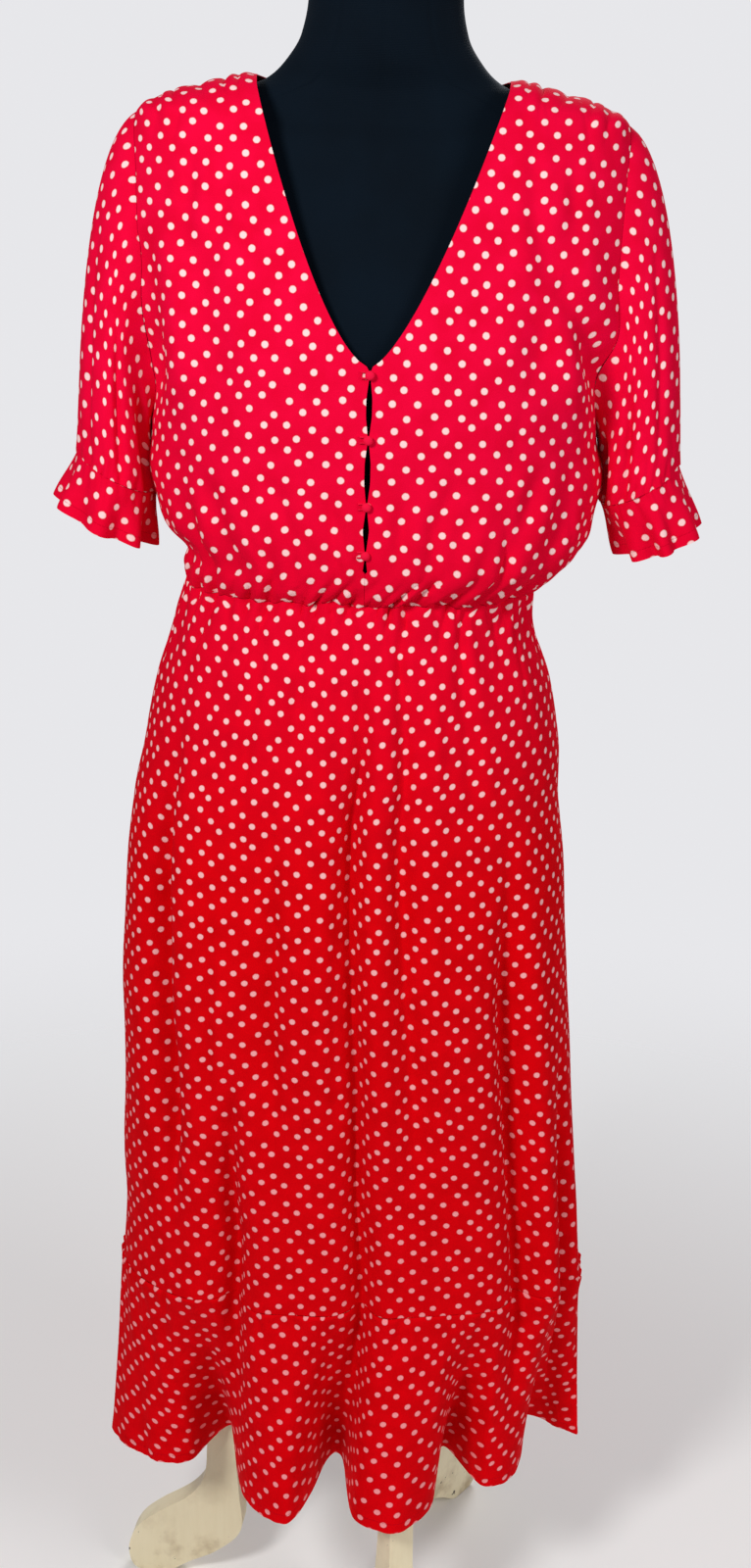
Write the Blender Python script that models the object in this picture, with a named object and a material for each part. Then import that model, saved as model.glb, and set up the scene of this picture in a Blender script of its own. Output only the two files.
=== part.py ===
"""Maxi dress with V neck, short gathered sleeves and a flounce, on a limbless dress form with a
three-legged wooden stand. Metres, +Z up, the front of the dress faces -Y, wearer's right is -X."""
import bpy
import bmesh
import numpy as np
from math import cos, pi, radians, sin, sqrt
from mathutils import Vector

# Cloth
WALL = 0.002                  # thickness of every cloth wall
SEAM = 0.0003                 # gap between two pieces at a seam

# Heights of the cut
WAIST_Z = 1.062               # gathered waist seam
FLOUNCE_Z = 0.395             # gathered seam on top of the flounce
HEM_Z = 0.192                 # lower edge of the flounce
V_POINT_Z = 1.256             # bottom of the V neck
NECK_Z = 1.473                # shoulder seam at the neck
NECK_HALF = 0.102             # half of the neck width there
TIP_Z = 1.442                 # shoulder seam at the armhole
NAPE_Z = 1.458                # back neckline at its middle
UNDERARM_Z = 1.195            # lowest point of the armhole
ARMHOLE_DEPTH = 0.050         # how far the armhole cuts in from the side, front and back
SLIT_X = -0.004               # the front opening runs a little to the wearer's right
SLIT_HALF = 0.0021            # half of the parting between two buttons
SLIT_END_Z = 1.092            # below this the two fronts are sewn together
BUTTON_PINCH = 0.018          # length over which a button draws the two fronts together
NECK_BOW = {-1: 0.63, 1: 0.70}   # right and left V edge: 1 is straight, less bows it outwards

# Sections of the bodice: half width, shift to +X, depth in front of and behind the middle
BODICE = {
    "z":     (1.062, 1.075, 1.092, 1.120, 1.145, 1.195, 1.250, 1.310, 1.370, 1.410,
              1.442, 1.458, 1.467, 1.473),
    "half":  (0.144, 0.157, 0.170, 0.183, 0.185, 0.187, 0.198, 0.208, 0.211, 0.208,
              0.200, 0.163, 0.130, 0.102),
    "shift": (-0.009, -0.001, 0.009, 0.004, 0.003, 0.000, 0.000, 0.000, 0.000, 0.000,
              0.000, 0.000, 0.000, 0.000),
    "front": (0.105, 0.116, 0.123, 0.126, 0.126, 0.127, 0.124, 0.113, 0.099, 0.087,
              0.074, 0.066, 0.061, 0.057),
    "back":  (0.093, 0.103, 0.108, 0.108, 0.107, 0.106, 0.108, 0.108, 0.101, 0.091,
              0.078, 0.070, 0.065, 0.061),
}
# Sections of the skirt from the flounce seam up to the waist
SKIRT = {
    "z":     (0.395, 0.450, 0.511, 0.574, 0.635, 0.695, 0.753, 0.810, 0.870, 0.923, 0.978, 1.030, 1.062),
    "half":  (0.220, 0.216, 0.214, 0.210, 0.2075, 0.205, 0.201, 0.1975, 0.190, 0.183, 0.1715, 0.153, 0.144),
    "shift": (-0.001, -0.002, -0.006, -0.008, -0.0105, -0.014, -0.015, -0.0155, -0.016, -0.012, -0.012,
              -0.013, -0.009),
    "front": (0.112, 0.113, 0.115, 0.118, 0.121, 0.124, 0.126, 0.127, 0.127, 0.124, 0.119, 0.111, 0.105),
    "back":  (0.138, 0.138, 0.138, 0.138, 0.138, 0.138, 0.138, 0.137, 0.134, 0.127, 0.116, 0.103, 0.093),
}
SQUARENESS = 0.05             # how much fuller than an ellipse a section is
LEVEL_REACH = 0.020           # height over which the wall turns from level at the waist seam

# Long folds of the skirt, one row each: angle round the body at the waist and at the flounce
# (0 is the middle of the front, 90 the wearer's left side), height where it starts, depth,
# half width in degrees, and the height below which it fades out
FOLD_COLUMNS = ("top", "low", "start", "depth", "width", "fade")
FOLDS = (
    (-54, -44, 0.97, 0.015, 7.0, 0.52),
    (-30, -29, 0.66, 0.020, 7.0, 0.00),
    (-19, -17, 0.93, 0.008, 5.5, 0.60),
    (2, 3, 1.04, 0.016, 5.5, 0.00),
    (14, 18, 1.03, 0.009, 5.5, 0.56),
    (43, 46, 0.86, 0.019, 8.0, 0.00),
    (68, 65, 0.66, 0.012, 6.5, 0.00),
    (112, 116, 0.90, 0.015, 8.0, 0.00),
    (139, 143, 1.00, 0.012, 7.0, 0.00),
    (166, 168, 1.03, 0.016, 7.0, 0.00),
    (193, 196, 0.98, 0.014, 7.0, 0.00),
    (221, 219, 1.02, 0.012, 7.0, 0.00),
    (247, 243, 0.88, 0.017, 8.0, 0.00),
)
FOLD_START = 0.22             # height over which a fold reaches its full depth
FOLD_END = 0.16               # height over which it fades out
FOLD_RIM, FOLD_SPREAD = 0.35, 2.6   # rise of the cloth beside a fold, and its width in folds
# Waves of the flounce at the hem, one row for each crest, flank or hollow, round from the
# wearer's right side: angle on the seam above, and the place of the hem
WAVE_COLUMNS = ("angle", "x", "y")
WAVES = (
    (-90, -0.236, 0.000), (-70, -0.205, -0.056), (-52, -0.154, -0.062), (-37, -0.121, -0.016),
    (-26, -0.091, -0.112), (-17, -0.063, -0.148), (-8, -0.032, -0.112), (0, -0.006, -0.047),
    (7, 0.008, -0.127), (15, 0.046, -0.160), (23, 0.079, -0.113), (31, 0.100, -0.045),
    (40, 0.136, -0.086), (48, 0.164, -0.066), (58, 0.187, 0.018), (73, 0.213, 0.008),
    (90, 0.233, 0.000), (106, 0.206, 0.050), (118, 0.176, 0.046), (131, 0.142, 0.122),
    (143, 0.106, 0.154), (154, 0.066, 0.148), (165, 0.030, 0.098), (178, -0.002, 0.158),
    (192, -0.040, 0.092), (206, -0.074, 0.154), (220, -0.110, 0.084), (234, -0.146, 0.118),
    (246, -0.178, 0.044), (257, -0.208, 0.048),
)
WAVE_GROWTH = 1.15            # how the waves open on the way down, 1 is evenly

# Gathers: waves in half a turn of the body, in one shoulder seam or round one sleeve, the height
# of a wave, and how far it reaches in metres or in rows of the mesh
WAIST_GATHERS, WAIST_RUCK, WAIST_REACH = 10, 0.0022, 0.035
FLOUNCE_GATHERS, FLOUNCE_RUCK = 15, 0.0030
FLOUNCE_SWELL, FLOUNCE_FADE = 1.6, 1.3   # growth of those waves downwards, and how soon they end
SHOULDER_GATHERS, SHOULDER_RUCK, SHOULDER_ROWS = 5, 0.0026, 1.6
CUFF_GATHERS, CUFF_RUCK, FRILL_FLARE = 8, 0.0018, 0.0060

# Sleeves: outer and inner end of the gathered cuff seam and of the frill's edge
SLEEVE_COLUMNS = ("name", "side", "cuff_out", "cuff_in", "hem_out", "hem_in")
SLEEVES = (
    ("right", -1, (0.2505, 1.170), (0.1870, 1.135), (0.2690, 1.127), (0.1890, 1.090)),
    ("left", 1, (0.2585, 1.173), (0.1965, 1.135), (0.2790, 1.117), (0.2150, 1.092)),
)
CUFF_DEPTH = 0.060            # half depth of the sleeve at the cuff seam, front to back
FRILL_DEPTH = 0.069           # the same at the frill's edge

# Way the sleeve leaves the armhole and reaches the cuff, at the underarm and at the shoulder tip
SLEEVE_LEAVE = ((0.022, 0, -0.034), (0.135, 0, -0.075))
SLEEVE_ARRIVE = ((0.020, 0, -0.055), (-0.004, 0, -0.150))
SLEEVE_ROWS, FRILL_ROWS = 7, 3

# Buttons and loops of the front opening
BUTTON_Z = (1.250, 1.200, 1.147, 1.108)
BUTTON_R = 0.0038
BUTTON_H = 0.0056
SHANK_R = 0.0011
# Profile of the button's head in shares of its radius and height
BUTTON_SHAPE = ((0.90, 0.40), (1.00, 0.58), (0.72, 0.88))
SHANK_TOP = 0.37              # share of the height that the shank takes
LOOP_WIRE = 0.0007
LOOP_BEND, LOOP_REACH = 0.0023, 0.0068   # radius of the bend and length of the arms
BUTTON_LIFT = 0.0006          # clearance of the shanks over the curved front

# Dress form: half width, depth in front and behind at each height
FORM = {
    "z":     (0.800, 0.812, 0.860, 0.930, 1.000, 1.062, 1.130, 1.200, 1.270, 1.340, 1.395, 1.425, 1.4386,
              1.4529, 1.4614, 1.4688, 1.485, 1.505, 1.530, 1.556, 1.566),
    "half":  (0.124, 0.136, 0.150, 0.148, 0.136, 0.126, 0.138, 0.150, 0.158, 0.176, 0.190, 0.195, 0.196,
              0.160, 0.127, 0.0985, 0.080, 0.068, 0.063, 0.062, 0.056),
    "front": (0.080, 0.092, 0.103, 0.102, 0.096, 0.090, 0.102, 0.114, 0.110, 0.092, 0.070, 0.056, 0.044,
              0.042, 0.042, 0.044, 0.050, 0.054, 0.056, 0.057, 0.051),
    "back":  (0.085, 0.100, 0.112, 0.108, 0.094, 0.080, 0.088, 0.094, 0.094, 0.088, 0.072, 0.056, 0.042,
              0.040, 0.040, 0.043, 0.052, 0.057, 0.058, 0.058, 0.052),
}
FORM_SIDES = 32

# Stand: pole, collar and three sawn legs
POLE_R, POLE_TOP = 0.014, 0.7997
COLLAR_R, COLLAR_LOW, COLLAR_TOP = 0.021, 0.205, 0.300
COLLAR_CHAMFER = 0.007
LEG_THICK = 0.024
LEG_ANGLES = (173, 293, 53)
# Outline of a leg: distance from the pole's axis and height, from the top of the joint round
LEG_COLUMNS = ("reach", "z")
LEG = (
    (0.0213, 0.285), (0.060, 0.292), (0.100, 0.270), (0.130, 0.225), (0.1405, 0.170), (0.144, 0.125),
    (0.160, 0.098), (0.195, 0.072), (0.215, 0.052), (0.224, 0.028), (0.221, 0.008), (0.211, 0.000),
    (0.186, 0.000), (0.160, 0.016), (0.130, 0.034), (0.106, 0.062), (0.108, 0.105), (0.112, 0.160),
    (0.104, 0.198), (0.078, 0.222), (0.0213, 0.225),
)

# Mesh: columns of each tube piece, its rows, and the steps of a search by halves
SKIRT_ROWS = (FLOUNCE_Z, 0.480, 0.580, 0.690, 0.800, 0.890, 0.960, 1.010, 1.042, WAIST_Z)
FLOUNCE_SHARES = (0.0, 0.28, 0.58, 0.84, 1.0)
SKIRT_COLUMNS = {"front": 40, "back": 36}
FLOUNCE_COLUMNS = {"front": 60, "back": 56}
HALVINGS = 40
POLE_SIDES, BUTTON_SIDES = 16, 10

CLOTH_COLOUR = (0.62, 0.004, 0.020, 1.0)
JERSEY_COLOUR = (0.006, 0.009, 0.016, 1.0)
PAINT_COLOUR = (0.62, 0.53, 0.30, 1.0)


def material(name, colour, roughness):
    """A plain Principled material."""
    made = bpy.data.materials.new(name)
    made.use_nodes = True
    shader = made.node_tree.nodes["Principled BSDF"]
    shader.inputs["Base Color"].default_value = colour
    shader.inputs["Roughness"].default_value = roughness
    return made


def ease(value):
    """Smooth step from 0 to 1."""
    value = min(max(value, 0.0), 1.0)
    return value * value * (3 - 2 * value)


def mix(first, second, share):
    return first + (second - first) * share


def read(table, column, z):
    """The value of one column at height z, on a curve that keeps between its rows."""
    heights, values = table["z"], table[column]
    z = min(max(z, heights[0]), heights[-1])
    row = max(k for k in range(len(heights) - 1) if heights[k] <= z)
    slopes = [(values[k + 1] - values[k]) / (heights[k + 1] - heights[k]) for k in range(len(heights) - 1)]

    def tangent(k):
        if k == 0 or k == len(heights) - 1:
            return slopes[min(k, len(slopes) - 1)]
        before, after = slopes[k - 1], slopes[k]
        return 0.0 if before * after <= 0 else 2 * before * after / (before + after)

    step = heights[row + 1] - heights[row]
    t = (z - heights[row]) / step
    return ((1 + 2 * t) * (1 - t) ** 2 * values[row] + t * (1 - t) ** 2 * step * tangent(row)
            + t * t * (3 - 2 * t) * values[row + 1] + t * t * (t - 1) * step * tangent(row + 1))


def section(table, angle, z, fuller=SQUARENESS):
    """A point on the plain section at height z; angle 0 is the front, 90 degrees is +X."""
    turn = radians(angle)
    grow = 1 + fuller * sin(2 * turn) ** 2
    depth = read(table, "front" if cos(turn) > 0 else "back", z)
    return np.array((read(table, "shift", z) + read(table, "half", z) * sin(turn) * grow,
                     -depth * cos(turn) * grow, z))


def outward(surface, angle, z, level):
    """Outward direction of a surface(angle, z); level 1 keeps it horizontal."""
    along = surface(angle + 0.5, z) - surface(angle - 0.5, z)
    up = surface(angle, z + 0.0015) - surface(angle, z - 0.0015)
    normal = np.cross(along, up)
    normal[2] *= 1 - level
    return normal / np.linalg.norm(normal)


def body(name, faces, points, look):
    """A mesh object with its faces turned outwards."""
    mesh = bpy.data.meshes.new(name)
    build = bmesh.new()
    corners = [build.verts.new(Vector(point)) for point in points]
    for face in faces:
        build.faces.new([corners[k] for k in face])
    bmesh.ops.recalc_face_normals(build, faces=build.faces)
    build.to_mesh(mesh)
    build.free()
    mesh.materials.append(look)
    mesh.shade_smooth()
    made = bpy.data.objects.new(name, mesh)
    bpy.context.scene.collection.objects.link(made)
    return made


def wall(name, outer, normals, look, closed=False):
    """A cloth wall: rows of outer points and the same rows moved in by WALL, joined at the edges."""
    outer = np.array(outer)
    inner = outer - WALL * np.array(normals)
    rows, columns = outer.shape[:2]
    points = np.concatenate((outer.reshape(-1, 3), inner.reshape(-1, 3)))
    far = rows * columns
    steps = columns if closed else columns - 1
    faces = []
    for r in range(rows - 1):
        for c in range(steps):
            a, b = r * columns + c, r * columns + (c + 1) % columns
            faces.append((a, b, b + columns, a + columns))
            faces.append((far + a, far + a + columns, far + b + columns, far + b))
    for r in (0, rows - 1):
        for c in range(steps):
            a, b = r * columns + c, r * columns + (c + 1) % columns
            faces.append((a, b, far + b, far + a))
    if not closed:
        for c in (0, columns - 1):
            for r in range(rows - 1):
                a, b = r * columns + c, (r + 1) * columns + c
                faces.append((a, b, far + b, far + a))
    return body(name, faces, points, look)


def skirt_surface(angle, z):
    """The skirt: plain section, long folds and the gathers under the waist seam."""
    angle = (angle + 90) % 360 - 90
    point = section(SKIRT, angle, z)
    drop = WAIST_Z - z
    shift = WAIST_RUCK * np.exp(-drop / WAIST_REACH) * cos(radians(2 * WAIST_GATHERS * (angle + 90)))
    down = drop / (WAIST_Z - FLOUNCE_Z)
    for row in FOLDS:
        fold = dict(zip(FOLD_COLUMNS, row))
        centre = mix(fold["top"], fold["low"], down)
        away = (angle - centre) / fold["width"]
        deep = ease((fold["start"] - z) / FOLD_START)
        if fold["fade"]:
            deep *= 1 - ease((fold["fade"] + FOLD_END / 2 - z) / FOLD_END)
        shift += fold["depth"] * deep * (FOLD_RIM - np.exp(-away * away)) * np.exp(-(away / FOLD_SPREAD) ** 2)
    out = outward(lambda a, h: section(SKIRT, a, h), angle, z, 1)
    return point + out * shift


def wave(angle):
    """Place of the hem below one angle of the flounce seam, on a closed smooth curve."""
    angle = (angle + 90) % 360 - 90
    rows = [dict(zip(WAVE_COLUMNS, row)) for row in WAVES]
    count = len(rows)
    turns = [row["angle"] for row in rows] + [270]
    k = max(i for i in range(count) if turns[i] <= angle)

    def spot(i):
        return np.array((rows[i % count]["x"], rows[i % count]["y"]))

    def turn(i):
        return turns[i % count] + 360 * (i // count)

    def tangent(i):
        return (spot(i + 1) - spot(i - 1)) / (turn(i + 1) - turn(i - 1))

    step = turn(k + 1) - turn(k)
    t = (angle - turn(k)) / step
    return ((1 + 2 * t) * (1 - t) ** 2 * spot(k) + t * (1 - t) ** 2 * step * tangent(k)
            + t * t * (3 - 2 * t) * spot(k + 1) + t * t * (t - 1) * step * tangent(k + 1))


def flounce_surface(angle, z):
    """The flounce: from the skirt's lower edge out to the waves of the hem, gathered at the top."""
    share = (FLOUNCE_Z - z) / (FLOUNCE_Z - HEM_Z)
    top = skirt_surface(angle, FLOUNCE_Z)
    reach = np.append(wave(angle), z)
    top[2] = z
    grow = max(share, 0.0) ** WAVE_GROWTH
    ruck = FLOUNCE_RUCK * (1 + FLOUNCE_SWELL * share) * (1 - ease(share * FLOUNCE_FADE))
    out = outward(lambda a, h: section(SKIRT, a, h), angle, FLOUNCE_Z, 1)
    return mix(top, reach, grow) + out * ruck * cos(radians(2 * FLOUNCE_GATHERS * (angle + 90)))


def armhole_y(z):
    """How far in front of the side line the armhole's edge runs at height z."""
    middle = (UNDERARM_Z + TIP_Z) / 2
    radius = (TIP_Z - UNDERARM_Z) / 2
    return ARMHOLE_DEPTH * sqrt(max(0.0, 1 - ((z - middle) / radius) ** 2))


def edge_angle(z, depth):
    """Angle of the armhole's edge on the section at height z."""
    if z <= UNDERARM_Z or z >= TIP_Z:
        return 90.0
    low, high = 0.0, 90.0
    for _ in range(HALVINGS):
        half = (low + high) / 2
        turn = radians(half)
        reach = read(BODICE, depth, z) * cos(turn) * (1 + SQUARENESS * sin(2 * turn) ** 2)
        low, high = (half, high) if reach > armhole_y(z) else (low, half)
    return (low + high) / 2


def angle_at(x, z):
    """Angle on the front section at height z whose point has this x."""
    low, high = -90.0, 90.0
    for _ in range(HALVINGS):
        half = (low + high) / 2
        low, high = (half, high) if section(BODICE, half, z)[0] < x else (low, half)
    return (low + high) / 2


# Rows of the bodice: height at the front opening, and the armhole's rows as shares of a half
# circle from the underarm to the shoulder tip. The last row is the shoulder seam.
FRONT_Z = (1.062, 1.070, 1.084, 1.108, 1.128, 1.147, 1.174, 1.200, 1.228, V_POINT_Z,
           1.290, 1.325, 1.360, 1.394, 1.426, 1.451, 1.465, NECK_Z)
SIDE_Z = (1.062, 1.070, 1.082, 1.102, 1.120, 1.137, 1.156, 1.176)
ARM_SHARES = (0.0, 0.125, 0.25, 0.375, 0.5, 0.625, 0.75, 0.865, 0.945, 1.0)
FIRST_ARM = len(SIDE_Z)
OUTER_Z = SIDE_Z + tuple((UNDERARM_Z + TIP_Z) / 2 - (TIP_Z - UNDERARM_Z) / 2 * cos(pi * share)
                         for share in ARM_SHARES)
FRONT_COLUMNS = 20
BACK_COLUMNS = 28


def bodice_ruck(angle, z, shoulder, waves):
    """Gathers of the bodice at the waist seam and, in front, at the shoulder seam."""
    low = WAIST_RUCK * np.exp(-(z - WAIST_Z) / WAIST_REACH)
    low *= cos(radians(2 * WAIST_GATHERS * (angle + 90)))
    return low + SHOULDER_RUCK * shoulder * cos(2 * pi * waves)


def front_edge_x(side, z):
    """The front opening and the V edge; side -1 is the wearer's right front."""
    if z <= SLIT_END_Z:
        return SLIT_X + side * SEAM / 2
    if z <= V_POINT_Z:
        nearest = min(abs(z - spot) for spot in BUTTON_Z)
        return SLIT_X + side * (SEAM + SLIT_HALF * min(1.0, nearest / BUTTON_PINCH))
    climb = (z - V_POINT_Z) / (NECK_Z - V_POINT_Z)
    start = SLIT_X + side * SEAM
    return mix(start, side * NECK_HALF, climb ** NECK_BOW[side])


def front_bodice(name, side, look):
    """One front, from the opening and V edge out to the side seam, armhole and shoulder seam."""
    outer, normals = [], []
    last = len(FRONT_Z) - 1
    for row in range(last + 1):
        inner_z, outer_z = FRONT_Z[row], OUTER_Z[row]
        start = 90.0 * side if row == last else angle_at(front_edge_x(side, inner_z), inner_z)
        finish = edge_angle(outer_z, "front") * side
        line, dirs = [], []
        near_shoulder = np.exp(-(last - row) / SHOULDER_ROWS)
        climb = ease((row - FIRST_ARM) / (last - FIRST_ARM))
        start_x, finish_x = section(BODICE, start, inner_z)[0], section(BODICE, finish, outer_z)[0]
        for column in range(FRONT_COLUMNS + 1):
            share = column / FRONT_COLUMNS
            x, z = mix(start_x, finish_x, share), mix(inner_z, outer_z, share)
            if row == last:
                z = ridge_height(abs(x))
            angle = mix(mix(start, finish, share), angle_at(x, z), climb * (0 < share < 1))
            level = max(1 - (z - WAIST_Z) / LEVEL_REACH, 0)
            out = outward(lambda a, h: section(BODICE, a, h), angle, z, level)
            ruck = bodice_ruck(angle, z, near_shoulder, SHOULDER_GATHERS * share)
            if share in (0, 1):
                ruck *= 1 - near_shoulder
            point = section(BODICE, angle, z) + out * ruck
            if abs(abs(angle) - 90) < 1e-3:
                point[1] = -SEAM / 2
            if row == 0:
                point[2] += SEAM / 2
            line.append(point)
            dirs.append(out)
        outer.append(line)
        normals.append(dirs)
    return wall(name, outer, normals, look)


def ridge_height(x):
    """Height of the shoulder seam at a distance x from the middle."""
    low, high = TIP_Z, NECK_Z
    for _ in range(HALVINGS):
        half = (low + high) / 2
        low, high = (half, high) if read(BODICE, "half", half) > x else (low, half)
    return (low + high) / 2


def back_bodice(look):
    """The back in one piece, with a shallow round neckline."""
    outer, normals = [], []
    last = len(OUTER_Z) - 1
    for row in range(last + 1):
        outer_z = OUTER_Z[row]
        climb = max(0.0, (row - FIRST_ARM) / (last - FIRST_ARM))
        middle_z = mix(UNDERARM_Z, NAPE_Z, climb) if climb > 0 else outer_z
        side_angle = edge_angle(outer_z, "back")
        line, dirs = [], []
        for column in range(BACK_COLUMNS + 1):
            across = 1 - 2 * column / BACK_COLUMNS
            away = abs(across)
            z = mix(outer_z, middle_z, 1 - across * across)
            top_x = away * read(BODICE, "half", TIP_Z)
            neck_z = mix(NAPE_Z, NECK_Z, (top_x / NECK_HALF) ** 2)
            top_z = ridge_height(top_x) if top_x >= NECK_HALF else neck_z
            plain_top = mix(TIP_Z, NAPE_Z, 1 - across * across)
            z += (top_z - plain_top) * ease((climb - 0.2) / 0.8)
            edge_x = section(BODICE, side_angle, outer_z)[0]
            angle = mix(side_angle * away, angle_at(away * edge_x, z), ease(climb) * (away < 1))
            angle = 180 - angle if across >= 0 else 180 + angle
            level = max(1 - (z - WAIST_Z) / LEVEL_REACH, 0)
            out = outward(lambda a, h: section(BODICE, a, h), angle, z, level)
            point = section(BODICE, angle, z) + out * bodice_ruck(angle, z, 0, 0)
            if column in (0, BACK_COLUMNS) and not 0 < climb < 1 or row == last and top_x >= NECK_HALF:
                point[1] = SEAM / 2
            if row == 0:
                point[2] += SEAM / 2
            line.append(point)
            dirs.append(out)
        outer.append(line)
        normals.append(dirs)
    return wall("back_bodice", outer, normals, look)


def armhole_ring(side):
    """The armhole's edge from the shoulder tip down the front to the underarm and up the back:
    its points and the outward directions of the bodice there, with one more in each step."""
    ring = []
    for depth, heights in (("front", OUTER_Z[:FIRST_ARM - 1:-1]), ("back", OUTER_Z[FIRST_ARM + 1:-1])):
        for z in heights:
            angle = edge_angle(z, depth) * side
            angle = angle if depth == "front" else 180 - angle
            place = min(z, TIP_Z - 0.0015)
            out = outward(lambda a, h: section(BODICE, a, h), angle, place, 0)
            ring.append((section(BODICE, angle, z), out))
    finer = []
    for k, (point, out) in enumerate(ring):
        after, after_out = ring[(k + 1) % len(ring)]
        finer += [(point, out), ((point + after) / 2, (out + after_out) / 2)]
    return finer


def sleeve_and_frill(row, look):
    """A short sleeve from the armhole to its gathered cuff seam, and the frill below it."""
    data = dict(zip(SLEEVE_COLUMNS, row))
    side = data["side"]
    ring = armhole_ring(side)
    count = len(ring)
    mirror = np.array((side, 1, 1))

    def oval(out_end, in_end, depth, turn):
        """A point and its outward direction on the oval between two ends, seen from above."""
        out_end = np.array((out_end[0], 0, out_end[1]))
        in_end = np.array((in_end[0], 0, in_end[1]))
        span = (out_end - in_end) / 2
        front = np.array((0, -depth, 0))
        point = (out_end + in_end) / 2 + span * cos(turn) + front * sin(turn)
        way = span / (span @ span) * cos(turn) + front / depth ** 2 * sin(turn)
        return point * mirror, way / np.linalg.norm(way) * mirror

    rows = SLEEVE_ROWS
    outer, normals = [[] for _ in range(rows + 1)], [[] for _ in range(rows + 1)]
    for k in range(count):
        turn = 2 * pi * k / count
        up = (1 + cos(turn)) / 2
        leave = mix(*np.array(SLEEVE_LEAVE), up) * mirror
        arrive = mix(*np.array(SLEEVE_ARRIVE), up) * mirror
        end, end_out = oval(data["cuff_out"], data["cuff_in"], CUFF_DEPTH, turn)
        axis = np.cross(end_out, np.array((0, 1, 0)))
        away = mix(np.array((side, 0, 0)), leave / np.linalg.norm(leave), up)
        start = ring[k][0] + away * SEAM
        end = end + end_out * CUFF_RUCK * cos(CUFF_GATHERS * turn)
        end[2] += SEAM / 2
        for r in range(rows + 1):
            t = r / rows
            point = ((1 + 2 * t) * (1 - t) ** 2 * start + t * (1 - t) ** 2 * leave
                     + t * t * (3 - 2 * t) * end + t * t * (t - 1) * arrive)
            outer[r].append(point)
        radial = np.array((0, -sin(turn), cos(turn)))
        first = mix(radial, ring[k][1], ease((cos(turn) + 0.1) / 0.8))
        normals[0].append(first / np.linalg.norm(first))
        normals[rows].append(end_out)
    grid = np.array(outer)
    for r in range(1, rows):
        for k in range(count):
            along = grid[r, (k + 1) % count] - grid[r, k - 1]
            down = grid[r + 1, k] - grid[r - 1, k]
            way = np.cross(down, along)
            middle = grid[r].mean(axis=0)
            way *= np.sign(way @ (grid[r, k] - middle))
            normals[r].append(way / np.linalg.norm(way))
    wall("sleeve_" + data["name"], outer, normals, look, closed=True)

    outer, normals = [], []
    for r in range(FRILL_ROWS + 1):
        t = r / FRILL_ROWS
        line, dirs = [], []
        for k in range(count):
            turn = 2 * pi * k / count
            out_end = mix(np.array(data["cuff_out"]), np.array(data["hem_out"]), t)
            in_end = mix(np.array(data["cuff_in"]), np.array(data["hem_in"]), t)
            point, way = oval(out_end, in_end, mix(CUFF_DEPTH, FRILL_DEPTH, t), turn)
            flare = mix(CUFF_RUCK, FRILL_FLARE, ease(t)) * cos(CUFF_GATHERS * turn)
            point = point + way * flare
            if r == 0:
                point[2] -= SEAM / 2
            line.append(point)
            dirs.append(way)
        outer.append(line)
        normals.append(dirs)
    wall("cuff_frill_" + data["name"], outer, normals, look, closed=True)


def around(name, surface, first, last, columns, heights, look):
    """A piece of a horizontal tube between two side seams."""
    outer, normals = [], []
    for row, z in enumerate(heights):
        line, dirs = [], []
        for column in range(columns + 1):
            angle = mix(first, last, column / columns)
            point = surface(angle, z)
            out = outward(surface, angle, z, 1)
            if column in (0, columns):
                out = outward(lambda a, h: section(SKIRT, a, h), angle, max(z, FLOUNCE_Z), 1)
                point[1] = (-SEAM if first < 90 else SEAM) / 2
            if row in (0, len(heights) - 1):
                point[2] += SEAM / 2 * (1 if row == 0 else -1)
            line.append(point)
            dirs.append(out)
        outer.append(line)
        normals.append(dirs)
    return wall(name, outer, normals, look)


def skirt_and_flounce(look):
    """Front and back skirt, and front and back flounce."""
    drop = FLOUNCE_Z - HEM_Z
    flounce_rows = tuple(HEM_Z + drop * share for share in FLOUNCE_SHARES)
    for half, first in (("front", -90), ("back", 90)):
        last = first + 180
        around("skirt_" + half, skirt_surface, first, last, SKIRT_COLUMNS[half], SKIRT_ROWS, look)
        around("flounce_" + half, flounce_surface, first, last, FLOUNCE_COLUMNS[half], flounce_rows, look)


def turned(name, profile, sides, place, tilt, look):
    """A solid turned about its own axis from (radius, height) pairs, both ends on the axis."""
    points = [Vector((0, 0, profile[0][1]))]
    for radius, height in profile[1:-1]:
        points += [Vector((radius * cos(2 * pi * k / sides), radius * sin(2 * pi * k / sides), height))
                   for k in range(sides)]
    points.append(Vector((0, 0, profile[-1][1])))
    rings = len(profile) - 2
    faces = [(0, 1 + (k + 1) % sides, 1 + k) for k in range(sides)]
    for r in range(rings - 1):
        low = 1 + r * sides
        faces += [(low + k, low + (k + 1) % sides, low + sides + (k + 1) % sides, low + sides + k)
                  for k in range(sides)]
    top = len(points) - 1
    low = 1 + (rings - 1) * sides
    faces += [(low + k, low + (k + 1) % sides, top) for k in range(sides)]
    made = body(name, faces, points, look)
    made.location = place
    made.rotation_euler = tilt
    return made


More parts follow.
